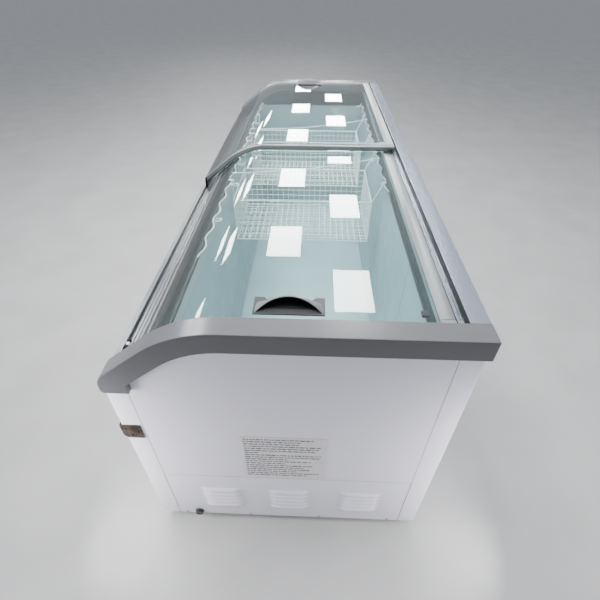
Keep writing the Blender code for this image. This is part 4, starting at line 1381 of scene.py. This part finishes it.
def drain_plug():
    """A ribbed cap with a neck and a finger tab."""
    low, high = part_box("drain_plug")
    radius = (high[1] - low[1]) / 2
    place = Vector((END_FACE + 0.0003, (low[1] + high[1]) / 2, (low[2] + high[2]) / 2))
    cap = ribbed_cap("plug_cap", PLUG_LEVELS, radius, 72, lambda step: 0.0007 * (step % 6 < 2),
                     lambda u, v, level: place + Vector((level, u, v)))
    neck = lathe("neck", ((0.0078, 0.0), (0.0078, -0.010), (0.0, -0.010), (0.0, 0.0)), place, (1, 0, 0), 32)
    tab = block("tab", place + Vector((0.0012, -0.004, -radius - 0.006)),
                place + Vector((0.0030, 0.004, -radius + 0.002)), 0.0008)
    keep(joined("ribbed_plug", [cap, neck, tab]), "dark", "drain_plug", "drain_plug")


def gland():
    """The empty cable gland, with a ribbed collar and a hole through it."""
    low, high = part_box("cable_gland")
    radius = (high[0] - low[0]) / 2
    place = Vector(((low[0] + high[0]) / 2, REAR_FACE, (low[2] + high[2]) / 2))
    profile = ((0.0030, 0.0044), (0.0075, 0.0044), (0.0100, 0.0036), (radius * 0.96, 0.0030), (radius, 0.0020),
               (radius, 0.0003), (0.0089, 0.0003), (0.0089, -0.0175), (0.0030, -0.0175))
    keep(lathe("gland_body", profile, place, (0, 1, 0)), "dark", "cabinet", "cable_gland")


# ------------------------------------------------------------------ castors

BOLT = ((0.0, -0.0022), (0.0032, -0.0022), (0.0038, -0.0014), (0.0038, 0.0), (0.0, 0.0))
BOLT_SPACING = 0.021
RACE = ((0.0, 0.0), (0.0150, 0.0), (0.0162, -0.0012), (0.0162, -0.0030), (0.0140, -0.0052), (0.0, -0.0060))
NUT = ((0.0, 0.0014), (0.0038, 0.0014), (0.0042, 0.0), (0.0, 0.0))
TYRE_EDGE = 0.0022


def castor(name):
    """Bolted plate, ball race and fork, and a rubber tyre on a plastic hub."""
    low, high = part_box(f"{name}_plate")
    x, y = (low[0] + high[0]) / 2, (low[1] + high[1]) / 2
    plate = prism("plate", rounded_rectangle(low[0], high[0], low[1], high[1], 0.006), low[2], high[2], "Z")
    parts = [rounded(plate, 0.0005)]
    for sx in (-BOLT_SPACING, BOLT_SPACING):
        for sy in (-BOLT_SPACING, BOLT_SPACING):
            parts.append(lathe("bolt", BOLT, (x + sx, y + sy, low[2]), (0, 0, 1), 6))
    keep(joined(f"{name}_top_plate", parts), "zinc", "cabinet", f"{name}_plate")
    wheel_low, wheel_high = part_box(f"{name}_wheel")
    axle = Vector(((wheel_low[0] + wheel_high[0]) / 2, y, (wheel_low[2] + wheel_high[2]) / 2))
    radius = (wheel_high[2] - wheel_low[2]) / 2
    half = (wheel_high[1] - wheel_low[1]) / 2
    crown = low[2] - 0.0003
    legs = [lathe("race", RACE, (x, y, crown), (0, 0, 1))]
    for hand in (-1, 1):
        inner = y + hand * (half + 0.001)
        legs.append(fork_leg(x, axle, crown - 0.004, *sorted((inner, inner + hand * 0.002))))
        legs.append(lathe("nut", NUT, (axle.x, inner + hand * 0.0019, axle.z), (0, hand, 0), 6))
    end = half + 0.0015
    legs.append(lathe("axle", ((0.0, end), (0.0028, end), (0.0028, -end), (0.0, -end)), axle, (0, 1, 0), 24))
    keep(joined(f"{name}_yoke", legs), "zinc", f"{name}_swivel", f"{name}_fork")
    rim, tread = radius * 0.66, radius - TYRE_EDGE
    tyre = [(rim, half), (tread, half)]
    for step in range(1, 8):
        turn = pi / 2 - pi * step / 8
        tyre.append((tread + TYRE_EDGE * cos(turn), (half - 0.0006) * sin(turn)))
    tyre += [(tread, -half), (rim, -half)]
    keep(lathe(f"{name}_tyre", tyre, axle, (0, 1, 0)), "tyre", f"{name}_roller", f"{name}_wheel")
    face = [(0.0033, half - 0.0002), (0.0062, half - 0.0002), (0.0070, half - 0.0030),
            (radius * 0.60, half - 0.0030), (rim, half - 0.0006)]
    hub = face + [(share, -height) for share, height in face[::-1]]
    keep(lathe(f"{name}_hub", hub, axle, (0, 1, 0)), "white_plastic", f"{name}_roller")


def fork_leg(x, axle, top, near, far):
    """A tapered plate from the race down to a round end at the axle."""
    outline = [(x + 0.010, top), (x - 0.012, top)]
    outline += arc((axle.x, axle.z), 0.0062, pi + radians(20), radians(150), 8)
    return rounded(prism("leg", outline, near, far, "Y"), 0.0004)


# ------------------------------------------------------------------ assembly

CARRIED = {
    "inner_tank": "liner", "insulation_foam": "foam", "base_pan": "zinc", "compressor_bracket": "zinc",
    "compressor": "black", "condenser": "zinc", "fan_bracket": "zinc", "fan_motor": "black",
    "fan_blade": "dark", "filter_drier": "copper", "discharge_pipe": "copper", "suction_pipe": "copper",
    "drain_tube": "hose",
}
MATS = make_materials()


def main():
    make_camera()
    make_studio()
    for name, material in CARRIED.items():
        dress(name, material)
    for build in (body_panels, louvre_panel, label, corner_bracket, body_screws, end_caps, mouth_frame,
                  tracks, lids):
        build()
    for row, inward in (("front", 1), ("rear", -1)):
        wavy_rail(row, inward)
    for side, _ in SIDES:
        wire_basket(side)
    for build in (tank_seams, controls, drain_plug, gland):
        build()
    for end, _ in SIDES:
        for row in ("front", "rear"):
            castor(f"{end}_{row}_castor")


main()
